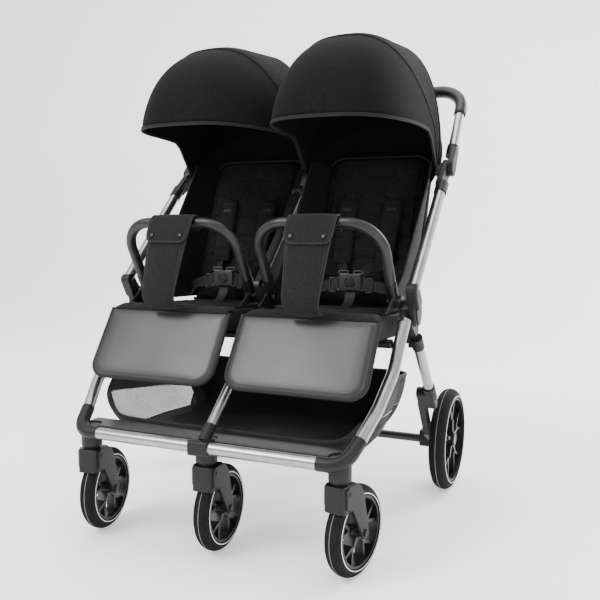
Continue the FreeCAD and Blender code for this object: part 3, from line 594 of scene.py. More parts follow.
for side, sign in SIDES.items():
    x = sign * SEAT_X
    dress("bumper_bar_" + side, leatherette, 50)
    path = bumper_path(x)
    lean = Vector((0, BUMPER_TOP[0] - BUMPER_FOOT[0], BUMPER_TOP[1] - BUMPER_FOOT[1])).normalized()
    back = Vector((0, lean.z, -lean.y))
    seam = stitches("bumper_seam_" + side, [p + back * (BUMPER_R + 0.0001) for p in path[12:-12]],
                    0.006, 0.0042, 0.0005)
    wear("grip_leatherette", "bumper_" + side, seam)
    for end in (-1, 1):
        foot = Vector((x + end * BUMPER_HALF, *BUMPER_FOOT))
        hand = "outer" if end * sign > 0 else "inner"
        for label, low, high, radius, material in (("socket", 0.008, 0.046, 0.0131, nylon),
                                                   ("ring", 0.046, 0.0495, 0.0138, rim_nylon)):
            band = tube_piece(f"bumper_{label}_{side}_{hand}", [foot + lean * low, foot + lean * high],
                              radius, material, sides=16)
            wear("black_nylon", "bumper_" + side, band)

# ---- Crotch flaps -------------------------------------------------------------------
# Double polyester panel with bound edges.  Its top wraps over the bumper bar as a cuff,
# closed by two snap fasteners, and its foot tucks into the front of the seat.
seat_cloth = finish("black_seat_polyester", "#0C0C0D", 0.92,
                    Specular_IOR_Level=0.2, Sheen_Weight=0.04, Sheen_Roughness=0.45)


def cloth_relief(material, pitch, depth, low, high):
    """Crossed yarns in object space, for pieces with no UVs, with a light fleck."""
    tree = material.node_tree
    place = node(tree, "ShaderNodeTexCoord")
    spot = place.outputs["Object"]
    warp, weft = [
        node(tree, "ShaderNodeTexWave", {"Vector": spot, "Scale": 1 / (WAVE_BANDS * pitch), "Distortion": 0.8},
             bands_direction=axis).outputs["Fac"] for axis in "XZ"]
    cross = node(tree, "ShaderNodeMath", {0: warp, 1: weft}, operation="ADD")
    fleck = node(tree, "ShaderNodeTexNoise", {"Vector": spot, "Scale": 0.3 / pitch, "Detail": 3.0})
    two_tone(tree, fleck.outputs[0], low, high, (0.35, 0.7))
    relief(tree, cross.outputs[0], depth, 0.7)


# The fleck is the yarn's own random tone, but the whole range sits lighter than the wing and hood cloth as painted
# light for the shaded seat interior.
cloth_relief(seat_cloth, 0.0014, 0.0002, "#0F0F10", "#1A1A1B")
edge_tape = finish("woven_edge_tape", "#151516", 0.75, Specular_IOR_Level=0.3, Sheen_Weight=0.05)
grain(edge_tape, 1000, 0.0002)
gunmetal = finish("gunmetal_snap", "#2A2A2C", 0.3, Metallic=1.0)
grain(gunmetal, 900, 0.00002)

# side view of the panel, top to foot, and its half width there
FLAP_LINE = [(-0.2225, 0.7065), (-0.232, 0.690), (-0.2405, 0.668), (-0.252, 0.640), (-0.264, 0.606),
             (-0.275, 0.572), (-0.281, 0.552), (-0.2795, 0.535), (-0.268, 0.5215), (-0.250, 0.5165)]
FLAP_HALF = [0.050, 0.050, 0.0495, 0.048, 0.0455, 0.043, 0.0415, 0.0395, 0.037, 0.035]


def smooth_run(points, measured, count):
    """Even samples of a smooth curve through points, each with its span and its share of that span.

    Lengths are measured in the first few columns, and any further columns are carried along.
    """
    points = np.asarray(points, float)
    spans = np.r_[0, np.cumsum(np.linalg.norm(np.diff(points[:, :measured], axis=0), axis=1))]
    slopes = np.gradient(points, spans, axis=0)
    samples = []
    for w in np.linspace(0, spans[-1], count):
        k = min(np.searchsorted(spans, w, side="right") - 1, len(spans) - 2)
        gap = spans[k + 1] - spans[k]
        t = (w - spans[k]) / gap
        a, b = 2 * t ** 3 - 3 * t ** 2 + 1, t ** 3 - 2 * t ** 2 + t
        c, d = -2 * t ** 3 + 3 * t ** 2, t ** 3 - t ** 2
        spot = a * points[k] + b * gap * slopes[k] + c * points[k + 1] + d * gap * slopes[k + 1]
        samples.append((spot, k, t))
    return samples


def panel(name, x, line, halves, crown, thick, rows=60, columns=29, round_foot=0.0):
    """Padded strip that follows a side line, crowned across, as one closed sheet."""
    samples = [spot for spot, _, _ in smooth_run([(*p, h) for p, h in zip(line, halves)], 2, rows)]
    points, edges = [], ([], [])
    for i in range(rows):
        y, z, half = samples[i]
        ahead, behind = samples[min(i + 1, rows - 1)], samples[max(i - 1, 0)]
        run = Vector((0, ahead[0] - behind[0], ahead[1] - behind[1])).normalized()
        out = Vector((0, run.z, -run.y))
        left = (1 - i / (rows - 1)) * rows
        if round_foot and left < round_foot * rows:
            t = 1 - left / (round_foot * rows)
            half *= 0.74 + 0.26 * math.sqrt(max(0.0, 1 - t ** 2.4))
        for j in range(columns):
            s = -1 + 2 * j / (columns - 1)
            bulge = crown * (1 - abs(s) ** 2.6)
            points.append(Vector((x + s * half, y, z)) + out * bulge)
        edges[0].append(points[-columns])
        edges[1].append(points[-1])
    piece = new_piece(name, points, grid_faces(rows, columns), (seat_cloth,))
    thicken(piece, thick, 0.0)
    mend(piece)
    return piece, edges


def disc(name, centre, normal, radius, height, material):
    """Low domed button."""
    shape = bmesh.new()
    rings = [(1.0, 0.0), (1.0, 0.45), (0.86, 0.85), (0.5, 1.0)]
    axis = Vector(normal).normalized()
    turn = axis.to_track_quat("Z", "Y").to_matrix()
    loops = []
    for share, rise in rings:
        spots = [Vector((radius * share * math.cos(a), radius * share * math.sin(a), height * rise))
                 for a in np.linspace(0, 2 * math.pi, 20, endpoint=False)]
        loops.append([shape.verts.new(Vector(centre) + turn @ spot) for spot in spots])
    for low, high in zip(loops, loops[1:]):
        for k in range(20):
            shape.faces.new((low[k], low[(k + 1) % 20], high[(k + 1) % 20], high[k]))
    shape.faces.new(loops[-1])
    shape.faces.new(loops[0][::-1])
    data = bpy.data.meshes.new(name)
    shape.to_mesh(data)
    shape.free()
    paint(data, material)
    return link(name, data)


# over the bar from behind, down to the rounded tongue in front
CUFF_LINE = [(-0.1900, 0.6900), (-0.1895, 0.7060), (-0.1955, 0.7200), (-0.2075, 0.7245), (-0.2195, 0.7195),
             (-0.2290, 0.7070), (-0.2370, 0.6920), (-0.2440, 0.6780), (-0.2500, 0.6650)]
CUFF_HALF = [0.054, 0.0545, 0.055, 0.0555, 0.0555, 0.0555, 0.055, 0.0545, 0.053]
for side, sign in SIDES.items():
    x = sign * SEAT_X
    flap, flap_edges = panel("crotch_flap_cloth_" + side, x, FLAP_LINE, FLAP_HALF, 0.004, 0.0030)
    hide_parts("crotch_flap_" + side)
    cuff, cuff_edges = panel("crotch_cuff_" + side, x, CUFF_LINE, CUFF_HALF, 0.0015, 0.0026,
                             rows=48, round_foot=0.22)
    extras = []
    for label, edges in (("flap", flap_edges), ("cuff", cuff_edges)):
        for k, edge in enumerate(edges):
            hem = tube_piece(f"{label}_binding_{k}_{side}", edge, 0.0021, edge_tape, sides=8)
            inside = [p + Vector(((0.0052 if k == 0 else -0.0052), -0.0022, 0.0006)) for p in edge]
            extras += [hem, stitches(f"{label}_topstitch_{k}_{side}", inside)]
    foot = [cuff_edges[0][-1].lerp(cuff_edges[1][-1], t) + Vector((0, -0.0012, 0))
            for t in np.linspace(0, 1, 25)]
    extras.append(tube_piece("cuff_foot_binding_" + side, foot, 0.0021, edge_tape, sides=8))
    for offset in (-1, 1):
        hand = "left" if offset > 0 else "right"
        extras.append(disc(f"snap_{side}_{hand}", (x + offset * 0.038, -0.2468, 0.6795), (0, -0.9, 0.42),
                           0.0058, 0.0026, gunmetal))
    wear("seat_fabric", "bumper_" + side, flap, cuff, *extras)

# ---- Calf rests ---------------------------------------------------------------------
# Moulded foam board in satin coated fabric, grey in the light, with a thick round welt
# sewn all the way round.  Any mark on the face is left off.
calf_skin = finish("satin_coated_fabric", "#1C1C1D", 0.4, Coat_Weight=0.06, Coat_Roughness=0.45)
vary(calf_skin, 9, "#121213", "#1A1A1B", rough=(0.33, 0.44))
grain(calf_skin, 1300, 0.0001, detail=3.0)
welt_cloth = finish("padded_welt", "#0C0C0D", 0.6, Specular_IOR_Level=0.3)
grain(welt_cloth, 900, 0.0002)
CALF_FOOT = Vector((0, -0.232, 0.494))
CALF_LEAN = math.radians(33)
CALF_HALF, CALF_END, CALF_CORNER = 0.158, -0.164, 0.036


def calf_outline(top, count):
    """Outline of a calf rest from above its face, square at the top and rounded below."""
    points = [(-CALF_HALF, top)]
    for cx, start in ((CALF_CORNER - CALF_HALF, math.pi), (CALF_HALF - CALF_CORNER, 1.5 * math.pi)):
        for k in range(11):
            a = start + k * math.pi / 2 / 10
            points.append((cx + CALF_CORNER * math.cos(a), CALF_END + CALF_CORNER * (1 + math.sin(a))))
    points.append((CALF_HALF, top))
    path = np.array([(x, 0, z) for x, z in points])
    lengths = np.r_[0, np.cumsum(np.linalg.norm(np.diff(path, axis=0), axis=1))]
    even = np.linspace(0, lengths[-1], count)
    return [Vector([np.interp(w, lengths, path[:, k]) for k in range(3)]) for w in even]


def calf_place(p, x):
    """From the hanging pad's own coordinates to its place on the seat."""
    return Matrix.Rotation(-CALF_LEAN, 3, "X") @ p + CALF_FOOT + Vector((x, 0, 0))


# share of the outline and depth of the face there, from the back over the rim to the middle
CALF_RINGS = ((0.5, -0.001), (1.0, -0.003), (1.0, -0.008), (0.985, -0.0125), (0.955, -0.0150),
              (0.90, -0.0165), (0.75, -0.0176), (0.5, -0.0182), (0.2, -0.0184), (0.0, -0.0184))
for side, sign in SIDES.items():
    x = sign * SEAT_X
    outline = calf_outline(0.006, 90)
    centre = Vector((0, 0, -0.078))
    points = []
    for share, depth in CALF_RINGS:
        for p in outline:
            q = centre + (p - centre) * share
            dimple = 0.0006 * math.sin(31 * q.x) * math.cos(23 * q.z)
            points.append(calf_place(Vector((q.x, depth + dimple, q.z)), x))
    faces = grid_faces(len(CALF_RINGS), len(outline), close_columns=True)
    faces.append(tuple(range(len(outline))))
    pad = new_piece("calf_pad_" + side, points, faces, (calf_skin,))
    join = pad.modifiers.new("joined", "WELD")
    join.merge_threshold = 0.0001
    apply_modifiers(pad)
    mend(pad)
    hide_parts("calf_rest_" + side)
    rim_line = [calf_place(Vector((p.x, -0.0085, p.z)), x) for p in calf_outline(0.008, 120)]
    top_line = [calf_place(Vector((t, -0.0105, 0.006)), x) for t in np.linspace(-CALF_HALF, CALF_HALF, 40)]
    inner = [calf_place(Vector((p.x * 0.945, -0.0160, centre.z + (p.z - centre.z) * 0.93)), x)
             for p in calf_outline(-0.006, 140)]
    wear("calf_leatherette", "calf_" + side, pad,
         tube_piece("calf_welt_" + side, rim_line, 0.0052, welt_cloth, sides=16),
         tube_piece("calf_top_seam_" + side, top_line, 0.0026, welt_cloth, sides=8),
         stitches("calf_topstitch_" + side, inner))

# ---- Seat and back pads -------------------------------------------------------------
# Quilted polyester over polyester wadding, sewn in channels.  The seat pad lies on its
# board, and the back pad hangs on the reclining backrest.  Both are blown up as cloth
# and then sewn down along their channels.
BACK_FOOT = Vector((0, 0.092, 0.500))
BACK_LEAN = math.radians(21.4)
SEAT_FRONT, SEAT_REAR = Vector((0, -0.225, 0.512)), Vector((0, 0.066, 0.500))


def on_back(p, x=0.0):
    """From backrest coordinates (across, behind, up) to their place on the leaned seat back."""
    return Matrix.Rotation(-BACK_LEAN, 3, "X") @ Vector(p) + BACK_FOOT + Vector((x, 0, 0))


def on_seat(p, x=0.0):
    """From seat coordinates (across, along from the front, up from the top line) to the seat."""
    run = (SEAT_REAR - SEAT_FRONT).normalized()
    return SEAT_FRONT + run * p[1] + Vector((x + p[0], -run.z * p[2], run.y * p[2]))


def pillow(name, half_width, low, high, thick, corner, place):
    """Closed pad with an oval section and a rounded outline, before it is blown up."""
    rings, around = 13, 72
    middle, half_length = (low + high) / 2, (high - low) / 2
    points = []
    for i in range(rings):
        lean = -math.pi / 2 + math.pi * i / (rings - 1)
        share = 0.02 + 0.98 * math.cos(lean) ** 0.28 if abs(lean) < 1.57 else 0.02
        depth = thick / 2 * signed(math.sin(lean), 0.8)
        for k in range(around):
            a = 2 * math.pi * k / around
            px = half_width * signed(math.cos(a), 2 / corner)
            pl = half_length * signed(math.sin(a), 2 / corner)
            points.append(place(px * share, middle + pl * share, depth))
    faces = grid_faces(rings, around, close_columns=True)
    faces += [tuple(range(around)), tuple(range((rings - 1) * around, rings * around))]
    piece = new_piece(name, points, faces, (seat_cloth,))
    mend(piece)
    return piece


def blow_up(piece, cap, voxel=0.005, pressure=4.0):
    """Remeshes a pad, swells it as cloth, and limits how far any point has moved."""
    scene = bpy.context.scene
    even = piece.modifiers.new("even", "REMESH")
    even.mode = "VOXEL"
    even.voxel_size = voxel
    apply_modifiers(piece)
    rest = np.array([v.co for v in piece.data.vertices])
    swell = piece.modifiers.new("swell", "CLOTH")
    swell.settings.use_pressure = True
    swell.settings.uniform_pressure_force = pressure
    swell.settings.effector_weights.gravity = 0
    swell.settings.quality = 5
    for frame_number in range(1, 21):
        scene.frame_set(frame_number)
    apply_modifiers(piece)
    scene.frame_set(1)
    moved = np.array([v.co for v in piece.data.vertices])
    shift = moved - rest
    far = np.linalg.norm(shift, axis=1, keepdims=True)
    moved = rest + shift * np.minimum(1.0, cap / np.maximum(far, 1e-9))
    piece.data.vertices.foreach_set("co", moved.ravel())
    finer = piece.modifiers.new("finer", "SUBSURF")
    finer.levels = finer.render_levels = 1
    apply_modifiers(piece)
    paint(piece.data, seat_cloth)


def sew(piece, depth_of):
    """Pulls every point in, against its normal, by a depth worked out from where it is."""
    data = piece.data
    spots = np.array([v.co for v in data.vertices])
    normals = np.array([v.normal for v in data.vertices])
    data.vertices.foreach_set("co", (spots - normals * depth_of(spots)[:, None]).ravel())
    data.update()


def groove(distance, width, depth):
    """Depth of a sewn channel at a distance from its line."""
    return depth * np.exp(-(distance / width) ** 2)


def back_coordinates(spots, x):
    """Across, behind and up of points on the leaned seat back."""
    lean = np.array(Matrix.Rotation(-BACK_LEAN, 3, "X"))
    return ((spots - np.array(BACK_FOOT) - np.array([x, 0, 0])) @ lean).T


BACK_ROWS = (0.062, 0.118, 0.174, 0.232, 0.292, 0.346)
SEAT_ROWS = (0.052, 0.110, 0.168, 0.226)
TUFT_X = 0.047


def back_channels(x):
    """Depth of the back pad's rows, side seams and tufts."""
    def depth_of(spots):
        across, behind, up = back_coordinates(spots, x)
        face = (behind < 0.0).astype(float)
        depth = np.zeros(len(spots))
        inside = np.clip((0.116 - abs(across)) / 0.01, 0, 1)
        for row in BACK_ROWS:
            wave = row + 0.0035 * np.cos(across / TUFT_X * math.pi)
            depth = np.maximum(depth, groove(up - wave, 0.0055, 0.0058) * inside)
        for edge in (-1, 1):
            depth = np.maximum(depth, groove(across - edge * 0.117, 0.0045, 0.0052) * (up < 0.372))
            tuft = groove(across - edge * TUFT_X, 0.0045, 0.0046)
            near = np.max([groove(up - row, 0.016, 1.0) for row in BACK_ROWS[2:]], axis=0)
            depth = np.maximum(depth, tuft * near)
        depth += 0.0006 * np.sin(across * 190) * np.sin(up * 130)
        return depth * face
    return depth_of


def seat_channels(x):
    """Depth of the seat pad's rows and side seams."""
    def depth_of(spots):
        across = spots[:, 0] - x
        along = spots[:, 1] - SEAT_FRONT.y
        face = (spots[:, 2] > 0.497 - 0.02 * along).astype(float)
        inside = np.clip((0.118 - abs(across)) / 0.012, 0, 1)
        depth = np.zeros(len(spots))
        for row in SEAT_ROWS:
            wave = row + 0.003 * np.cos(across / TUFT_X * math.pi)
            depth = np.maximum(depth, groove(along - wave, 0.0055, 0.0052) * inside)
        for edge in (-1, 1):
            depth = np.maximum(depth, groove(across - edge * 0.119, 0.0045, 0.0048) * (along > 0.02))
        depth += 0.0007 * np.sin(across * 150 + 1) * np.sin(along * 120)
        return depth * face
    return depth_of


def mirrored(half, middle=()):
    """A line, any middle points, and then the line's mirror image back again."""
    return [*half, *middle] + [(-a, b) for a, b in reversed(half)]


# left half of the welt round the seat pad's front edge, from its rear end
SEAT_WELT = [(-0.1405, 0.284), (-0.1405, 0.200), (-0.1405, 0.100), (-0.1405, 0.018),
             (-0.134, 0.003), (-0.120, -0.0008), (0.0, -0.001)]
seat_master = pillow("seat_pad", 0.1440, 0.001, 0.300, 0.020, 9.0,
                     lambda a, b, c: on_seat((a, b, c - 0.0135)))
blow_up(seat_master, 0.006)
back_master = pillow("back_pad", 0.1385, -0.004, 0.407, 0.019, 7.0,
                     lambda a, b, c: on_back((a, c - 0.004, b)))
blow_up(back_master, 0.007)
for side, sign in SIDES.items():
    x = sign * SEAT_X
    for master, label, channels, body in ((seat_master, "seat", seat_channels, "front_frame"),
                                          (back_master, "back", back_channels, "backrest_" + side)):
        pad = link(f"{label}_pad_{side}", master.data.copy())
        pad.data.transform(Matrix.Translation((x, 0, 0)))
        pad.data.update()
        sew(pad, channels(x))
        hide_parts(("seat_pad_" if label == "seat" else "backrest_pad_") + side)
        wear("seat_fabric", body, pad)
    dress("backrest_board_" + side, seat_cloth)
    welt_path = [on_seat((a, b, -0.004), x) for a, b in mirrored(SEAT_WELT[:-1], SEAT_WELT[-1:])]
    wear("seat_fabric", "front_frame",
         tube_piece("seat_welt_" + side, welt_path, 0.0028, edge_tape, sides=8))
    rise = [(-0.1385, h) for h in np.linspace(0.03, 0.369, 8)]
    rise += [(-0.1385 + 0.038 * (1 - math.cos(t)), 0.369 + 0.038 * math.sin(t))
             for t in np.linspace(0, math.pi / 2, 10)]
    back_path = [on_back((a, -0.003, h), x) for a, h in mirrored(rise)]
    wear("seat_fabric", "backrest_" + side,
         tube_piece("back_welt_" + side, back_path, 0.0030, edge_tape, sides=8))
for master in (seat_master, back_master):
    bpy.data.objects.remove(master)

# ---- Harness ------------------------------------------------------------------------
# Five-point harness in 25 mm polypropylene webbing.  Padded sleeves cover the shoulder
# straps, ladder adjusters sit on the waist straps, and all five meet at the buckle.
webbing = finish("polypropylene_webbing", "#101011", 0.6, Specular_IOR_Level=0.35, Sheen_Weight=0.03)
grain(webbing, 700, 0.00035, stretch=(1, 1, 2.4))
buckle_plastic = finish("semi_gloss_acetal", "#1F1F20", 0.32)
grain(buckle_plastic, 1400, 0.00003)
WEB_WIDTH, WEB_THICK = 0.0245, 0.0016
BUCKLE = Vector((0, 0.018, 0.565))


def strap(name, spots, normals, body):
    """Webbing through a few given spots, smoothed."""
    path, faced = [], []
    normals = np.array([tuple(n) for n in normals])
    for spot, k, t in smooth_run([tuple(p) for p in spots], 3, 40):
        path.append(Vector(spot))
        faced.append(Vector((1 - t) * normals[k] + t * normals[k + 1]))
    wear("seat_fabric", body, ribbon(name, path, faced, WEB_WIDTH, WEB_THICK, webbing))


def frame_ring(name, centre, up, width, height, bar, body):
    """Flat rectangular adjuster frame, lying square to the webbing."""
    across, up = Vector((1, 0, 0)), Vector(up).normalized()
    corners = [centre + across * (a * width / 2) + up * (b * height / 2)
               for a, b in ((-1, -1), (1, -1), (1, 1), (-1, 1))]
    path = []
    for a, b in zip(corners, corners[1:] + corners[:1]):
        path += [a.lerp(b, t) for t in (0.12, 0.5, 0.88)]
    wear("buckle_plastic", body, tube_piece(name, path, bar, buckle_plastic, closed=True, sides=8))


BACK_OUT = on_back((0, -1, 0)) - BACK_FOOT
AHEAD = Vector((0, -1, 0.25)).normalized()
# centre line of a shoulder sleeve: how far out from the seat's middle, at each height up the back
SLEEVE_LINE = ((0.100, 0.055), (0.140, 0.057), (0.185, 0.059), (0.230, 0.0605), (0.272, 0.060))
SLEEVE_TOP, SLEEVE_LENGTH, SLEEVE_HALF = 0.272, 0.172, 0.0232
SLEEVE_RIBS = (0.16, 0.38, 0.60, 0.82)
SLOT_RING = ((-0.017, -0.003), (0.0, -0.004), (0.017, -0.003), (0.017, 0.003), (0.0, 0.004), (-0.017, 0.003))


def shoulder_sleeve(name, x, end):
    """Padded sleeve with four sewn ribs, lying on the back pad."""
    rows, columns = 66, 25
    shell = []
    for i in range(rows):
        t = i / (rows - 1)
        up_at = SLEEVE_TOP - SLEEVE_LENGTH * t
        mid = end * np.interp(up_at, *zip(*SLEEVE_LINE))
        ends = min(1.0, 10 * min(t, 1 - t))
        half_width = SLEEVE_HALF * (0.80 + 0.20 * math.sqrt(1 - (1 - ends) ** 2))
        rib = min(abs(t - r) for r in SLEEVE_RIBS)
        puff = (0.0078 - 0.0032 * math.exp(-(rib / 0.018) ** 2)) * (0.35 + 0.65 * ends)
        for j in range(columns):
            a = math.pi * 2 * j / columns
            bulge = puff * signed(math.sin(a), 0.7)
            shell.append(on_back((mid + half_width * signed(math.cos(a), 0.6), -0.0315 - bulge, up_at), x))
    faces = grid_faces(rows, columns, close_columns=True)
    faces += [tuple(range(columns)), tuple(range((rows - 1) * columns, rows * columns))]
    sleeve = new_piece(name, shell, faces, (seat_cloth,))
    mend(sleeve)
    return sleeve


for side, sign in SIDES.items():
    x = sign * SEAT_X
    body = "backrest_" + side
    buckle = BUCKLE + Vector((x, 0, 0))
    dress("buckle_" + side, buckle_plastic)
    dress("buckle_button_" + side, rim_nylon)
    circle = [buckle + Vector((0.0133 * math.cos(t), -0.0084, 0.0133 * math.sin(t)))
              for t in np.linspace(0, 2 * math.pi, 28, endpoint=False)]
    wear("buckle_plastic", body,
         tube_piece("button_rim_" + side, circle, 0.0011, buckle_plastic, closed=True, sides=8))
    for end, hand in ((-1, "right"), (1, "left")):
        key = f"{side}_{hand}"
        sleeve = shoulder_sleeve("shoulder_pad_" + key, x, end)
        wear("seat_fabric", body, sleeve)

        def by_buckle(across, behind, up, end=end, buckle=buckle):
            return buckle + Vector((end * across, behind, up))

        down_back = [on_back((end * across, behind, up), x) for across, behind, up in
                     ((0.058, -0.012, 0.292), (0.060, -0.030, 0.276), (0.0595, -0.0315, 0.19),
                      (0.055, -0.0315, 0.098))]
        strap("shoulder_strap_" + key,
              down_back + [by_buckle(0.034, 0.034, 0.032), by_buckle(0.020, 0.002, 0.016)],
              [(0, -0.6, 0.8), BACK_OUT, BACK_OUT, BACK_OUT, AHEAD, AHEAD], body)
        ring = [on_back((end * 0.058 + a, -0.0185, 0.289 + b), x) for a, b in SLOT_RING]
        wear("seat_fabric", body,
             tube_piece("strap_slot_" + key, ring, 0.0016, edge_tape, closed=True, sides=8))
        strap("waist_strap_" + key,
              [by_buckle(0.020, 0.000, -0.004), by_buckle(0.042, -0.001, -0.006),
               by_buckle(0.075, 0.006, -0.012), by_buckle(0.105, 0.022, -0.022),
               by_buckle(0.132, 0.048, -0.040)],
              [(0, -1, 0.15), (0, -1, 0.15), (0, -1, 0.3), (end * -0.3, -1, 0.4), (end * -0.4, -1, 0.6)],
              body)
        for part, spot, up, width, height, bar in (
                ("ladder_adjuster", (0.047, -0.0015, -0.007), (0, 0.15, 1), 0.015, 0.033, 0.0022),
                ("waist_tongue", (0.0315, -0.0015, -0.004), (0, 0.15, 1), 0.008, 0.030, 0.0022),
                ("shoulder_tongue", (0.019, 0.001, 0.0235), (0, 0.3, 1), 0.024, 0.008, 0.0018)):
            frame_ring(f"{part}_{key}", by_buckle(*spot), up, width, height, bar, body)
    strap("crotch_strap_" + side,
          [buckle + Vector((0, 0.001, -0.017)), buckle + Vector((0, -0.006, -0.035)),
           Vector((x, -0.004, 0.514)), Vector((x, -0.030, 0.5065))],
          [(0, -1, 0), (0, -1, 0.2), (0, -0.7, 0.7), (0, -0.2, 1)], body)

# ---- Seat aprons and skirts ---------------------------------------------------------
# The seat's cover carries on past the pad: a front apron rolls over the hinge on to the
# calf rest's top edge, and a skirt hangs down each side of the board.


def skin(name, rows, columns, at, thick, material):
    """Sheet from a function of two shares, given a thickness."""
    points = [at(i / (rows - 1), j / (columns - 1)) for i in range(rows) for j in range(columns)]
    piece = new_piece(name, points, grid_faces(rows, columns), (material,))
    thicken(piece, thick, 0.0)
    return piece


calf_top = calf_place(Vector((0, -0.0120, 0.004)), 0)
APRON_LINE = [(-0.180, 0.5135), (-0.205, 0.5160), (-0.222, 0.5165), (-0.236, 0.5125),
              (calf_top.y - 0.001, calf_top.z + 0.004), (calf_top.y, calf_top.z - 0.002)]
for side, sign in SIDES.items():
    x = sign * SEAT_X

    def apron_at(down, over, x=x):
        y, z = [np.interp(down * 5, range(6), row) for row in zip(*APRON_LINE)]
        across = 2 * over - 1
        half = 0.1475 + 0.0095 * down
        droop = 0.012 * max(0.0, (abs(across) - 0.9) / 0.1) ** 2 * (1 - down)
        pucker = 0.0008 * math.sin(across * 21) * math.sin(math.pi * down)
        return Vector((x + across * half, y, z - droop + pucker))
    apron = skin("seat_apron_" + side, 26, 90, apron_at, 0.0016, seat_cloth)
    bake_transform(apron)
    for end, hand in ((-1, "right"), (1, "left")):
        def skirt_at(back, down, end=end, x=x):
            y = -0.2235 + 0.300 * back
            top = 0.5085 - 0.0124 * (y + 0.225) / 0.291
            ripple = 0.0012 * math.sin(back * 26) * down
            out = 0.1475 + 0.006 * math.sin(math.pi * down * 0.8) + ripple
            return Vector((x + end * out, y, top - 0.044 * down))
        skirt = skin(f"seat_skirt_{side}_{hand}", 60, 12, skirt_at, 0.0014, seat_cloth)
        wear("seat_fabric", "front_frame", skirt)

# ---- Side wings and hood curtains ---------------------------------------------------
# Single polyester sheets.  The wings close each side from the frame to the backrest's
# edge, and the curtain closes the gap from the hood's back hem to the backrest's top.
wing_cloth = finish("wing_polyester", "#0C0C0D", 0.92,
                    Specular_IOR_Level=0.2, Sheen_Weight=0.03, Sheen_Roughness=0.45)
cloth_relief(wing_cloth, 0.0014, 0.0002, "#0A0A0B", "#111112")
for side, sign in SIDES.items():
    x = sign * SEAT_X
    for end, hand in ((-1, "right"), (1, "left")):
        def wing_at(down, back, end=end, x=x):
            ahead = 0.276 * down ** 1.05 + 0.055 * max(0.0, (down - 0.8) / 0.2)
            fore = Vector((end * (0.163 - 0.012 * down), 0.156 - ahead, 0.868 - 0.352 * down))
            rear = on_back((end * 0.1310, 0.0045, 0.385 - 0.375 * down))
            p = fore.lerp(rear, back)
            slack = 0.006 * math.sin(math.pi * back) * math.sin(math.pi * down)
            return p + Vector((x + end * slack, 0, 0))
        wing = skin(f"side_wing_{side}_{hand}", 40, 22, wing_at, 0.0016, wing_cloth)
        hem = tube_piece(f"wing_hem_{side}_{hand}", [wing_at(t, 0.0) for t in np.linspace(0, 1, 30)],
                         0.0022, edge_tape, sides=8)
        for piece in (wing, hem):
            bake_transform(piece)

    def curtain_at(down, over, x=x):
        across = -1 + 2 * over
        hem_point = hood_point(1.0, across, 0.003)
        bend = abs(across) ** 1.6 * 0.075
        spread = 0.1385 * math.copysign(min(1.0, abs(across) ** 0.9 * 1.02), across)
        foot = on_back((spread, 0.006, 0.407 - bend))
        return hem_point.lerp(foot, down) + Vector((x, 0.012 * math.sin(math.pi * down), 0))
    curtain = skin("hood_curtain_" + side, 24, 61, curtain_at, 0.0016, wing_cloth)
    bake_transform(curtain)

# ---- Basket -------------------------------------------------------------------------
# Sewn tray of coated polyester, hung from the front ledge, the side tubes and the rear
# legs, with a knitted mesh window in each side below a piped seam.  It sags in the middle.
basket_cloth = finish("coated_basket_polyester", "#0B0B0C", 0.75, Specular_IOR_Level=0.25, Sheen_Weight=0.02)
cloth_relief(basket_cloth, 0.0016, 0.0002, "#090909", "#101011")
mesh_knit = finish("knitted_mesh", "#1A1A1B", 0.8)


def pierce(material, pitch, open_share):
    """Round holes through a knit, on crossed waves in object space, inside the sewn window."""
    tree = material.node_tree
    place = node(tree, "ShaderNodeTexCoord")

    def sum_node(operation, *inputs):
        return node(tree, "ShaderNodeMath", dict(enumerate(inputs)), operation=operation).outputs[0]

    waves = [node(tree, "ShaderNodeTexWave", {"Vector": place.outputs["Object"], "Scale": 1 / (WAVE_BANDS * pitch)},
                  bands_direction=axis).outputs["Fac"] for axis in "YZ"]
    solid = sum_node("LESS_THAN", sum_node("MULTIPLY", *waves), 1 - open_share)
    parts = node(tree, "ShaderNodeSeparateXYZ", {0: place.outputs["Object"]})
    y, z = parts.outputs["Y"], parts.outputs["Z"]
    seam = sum_node("MULTIPLY_ADD", y, WINDOW_SLOPE, WINDOW_TOP)
    for outside in (sum_node("GREATER_THAN", z, seam), sum_node("LESS_THAN", z, WINDOW_FOOT),
                    sum_node("LESS_THAN", y, WINDOW_REACH[0]), sum_node("GREATER_THAN", y, WINDOW_REACH[1])):
        solid = sum_node("MAXIMUM", solid, outside)
    tree.links.new(solid, tree.nodes["shader"].inputs["Alpha"])


WINDOW_SLOPE, WINDOW_TOP = -0.110, 0.279
WINDOW_FOOT, WINDOW_REACH = 0.226, (-0.262, 0.030)
pierce(mesh_knit, 0.0026, 0.78)

BASKET_HALF, BASKET_FRONT, BASKET_BACK = 0.321, -0.309, 0.105
RIM = [(-0.309, 0.262), (-0.292, 0.300), (-0.245, 0.334), (-0.150, 0.352), (-0.040, 0.348), (0.105, 0.338)]
FLOOR = [(-0.309, 0.232), (-0.290, 0.2235), (-0.200, 0.206), (-0.060, 0.1925), (0.050, 0.201), (0.105, 0.226)]


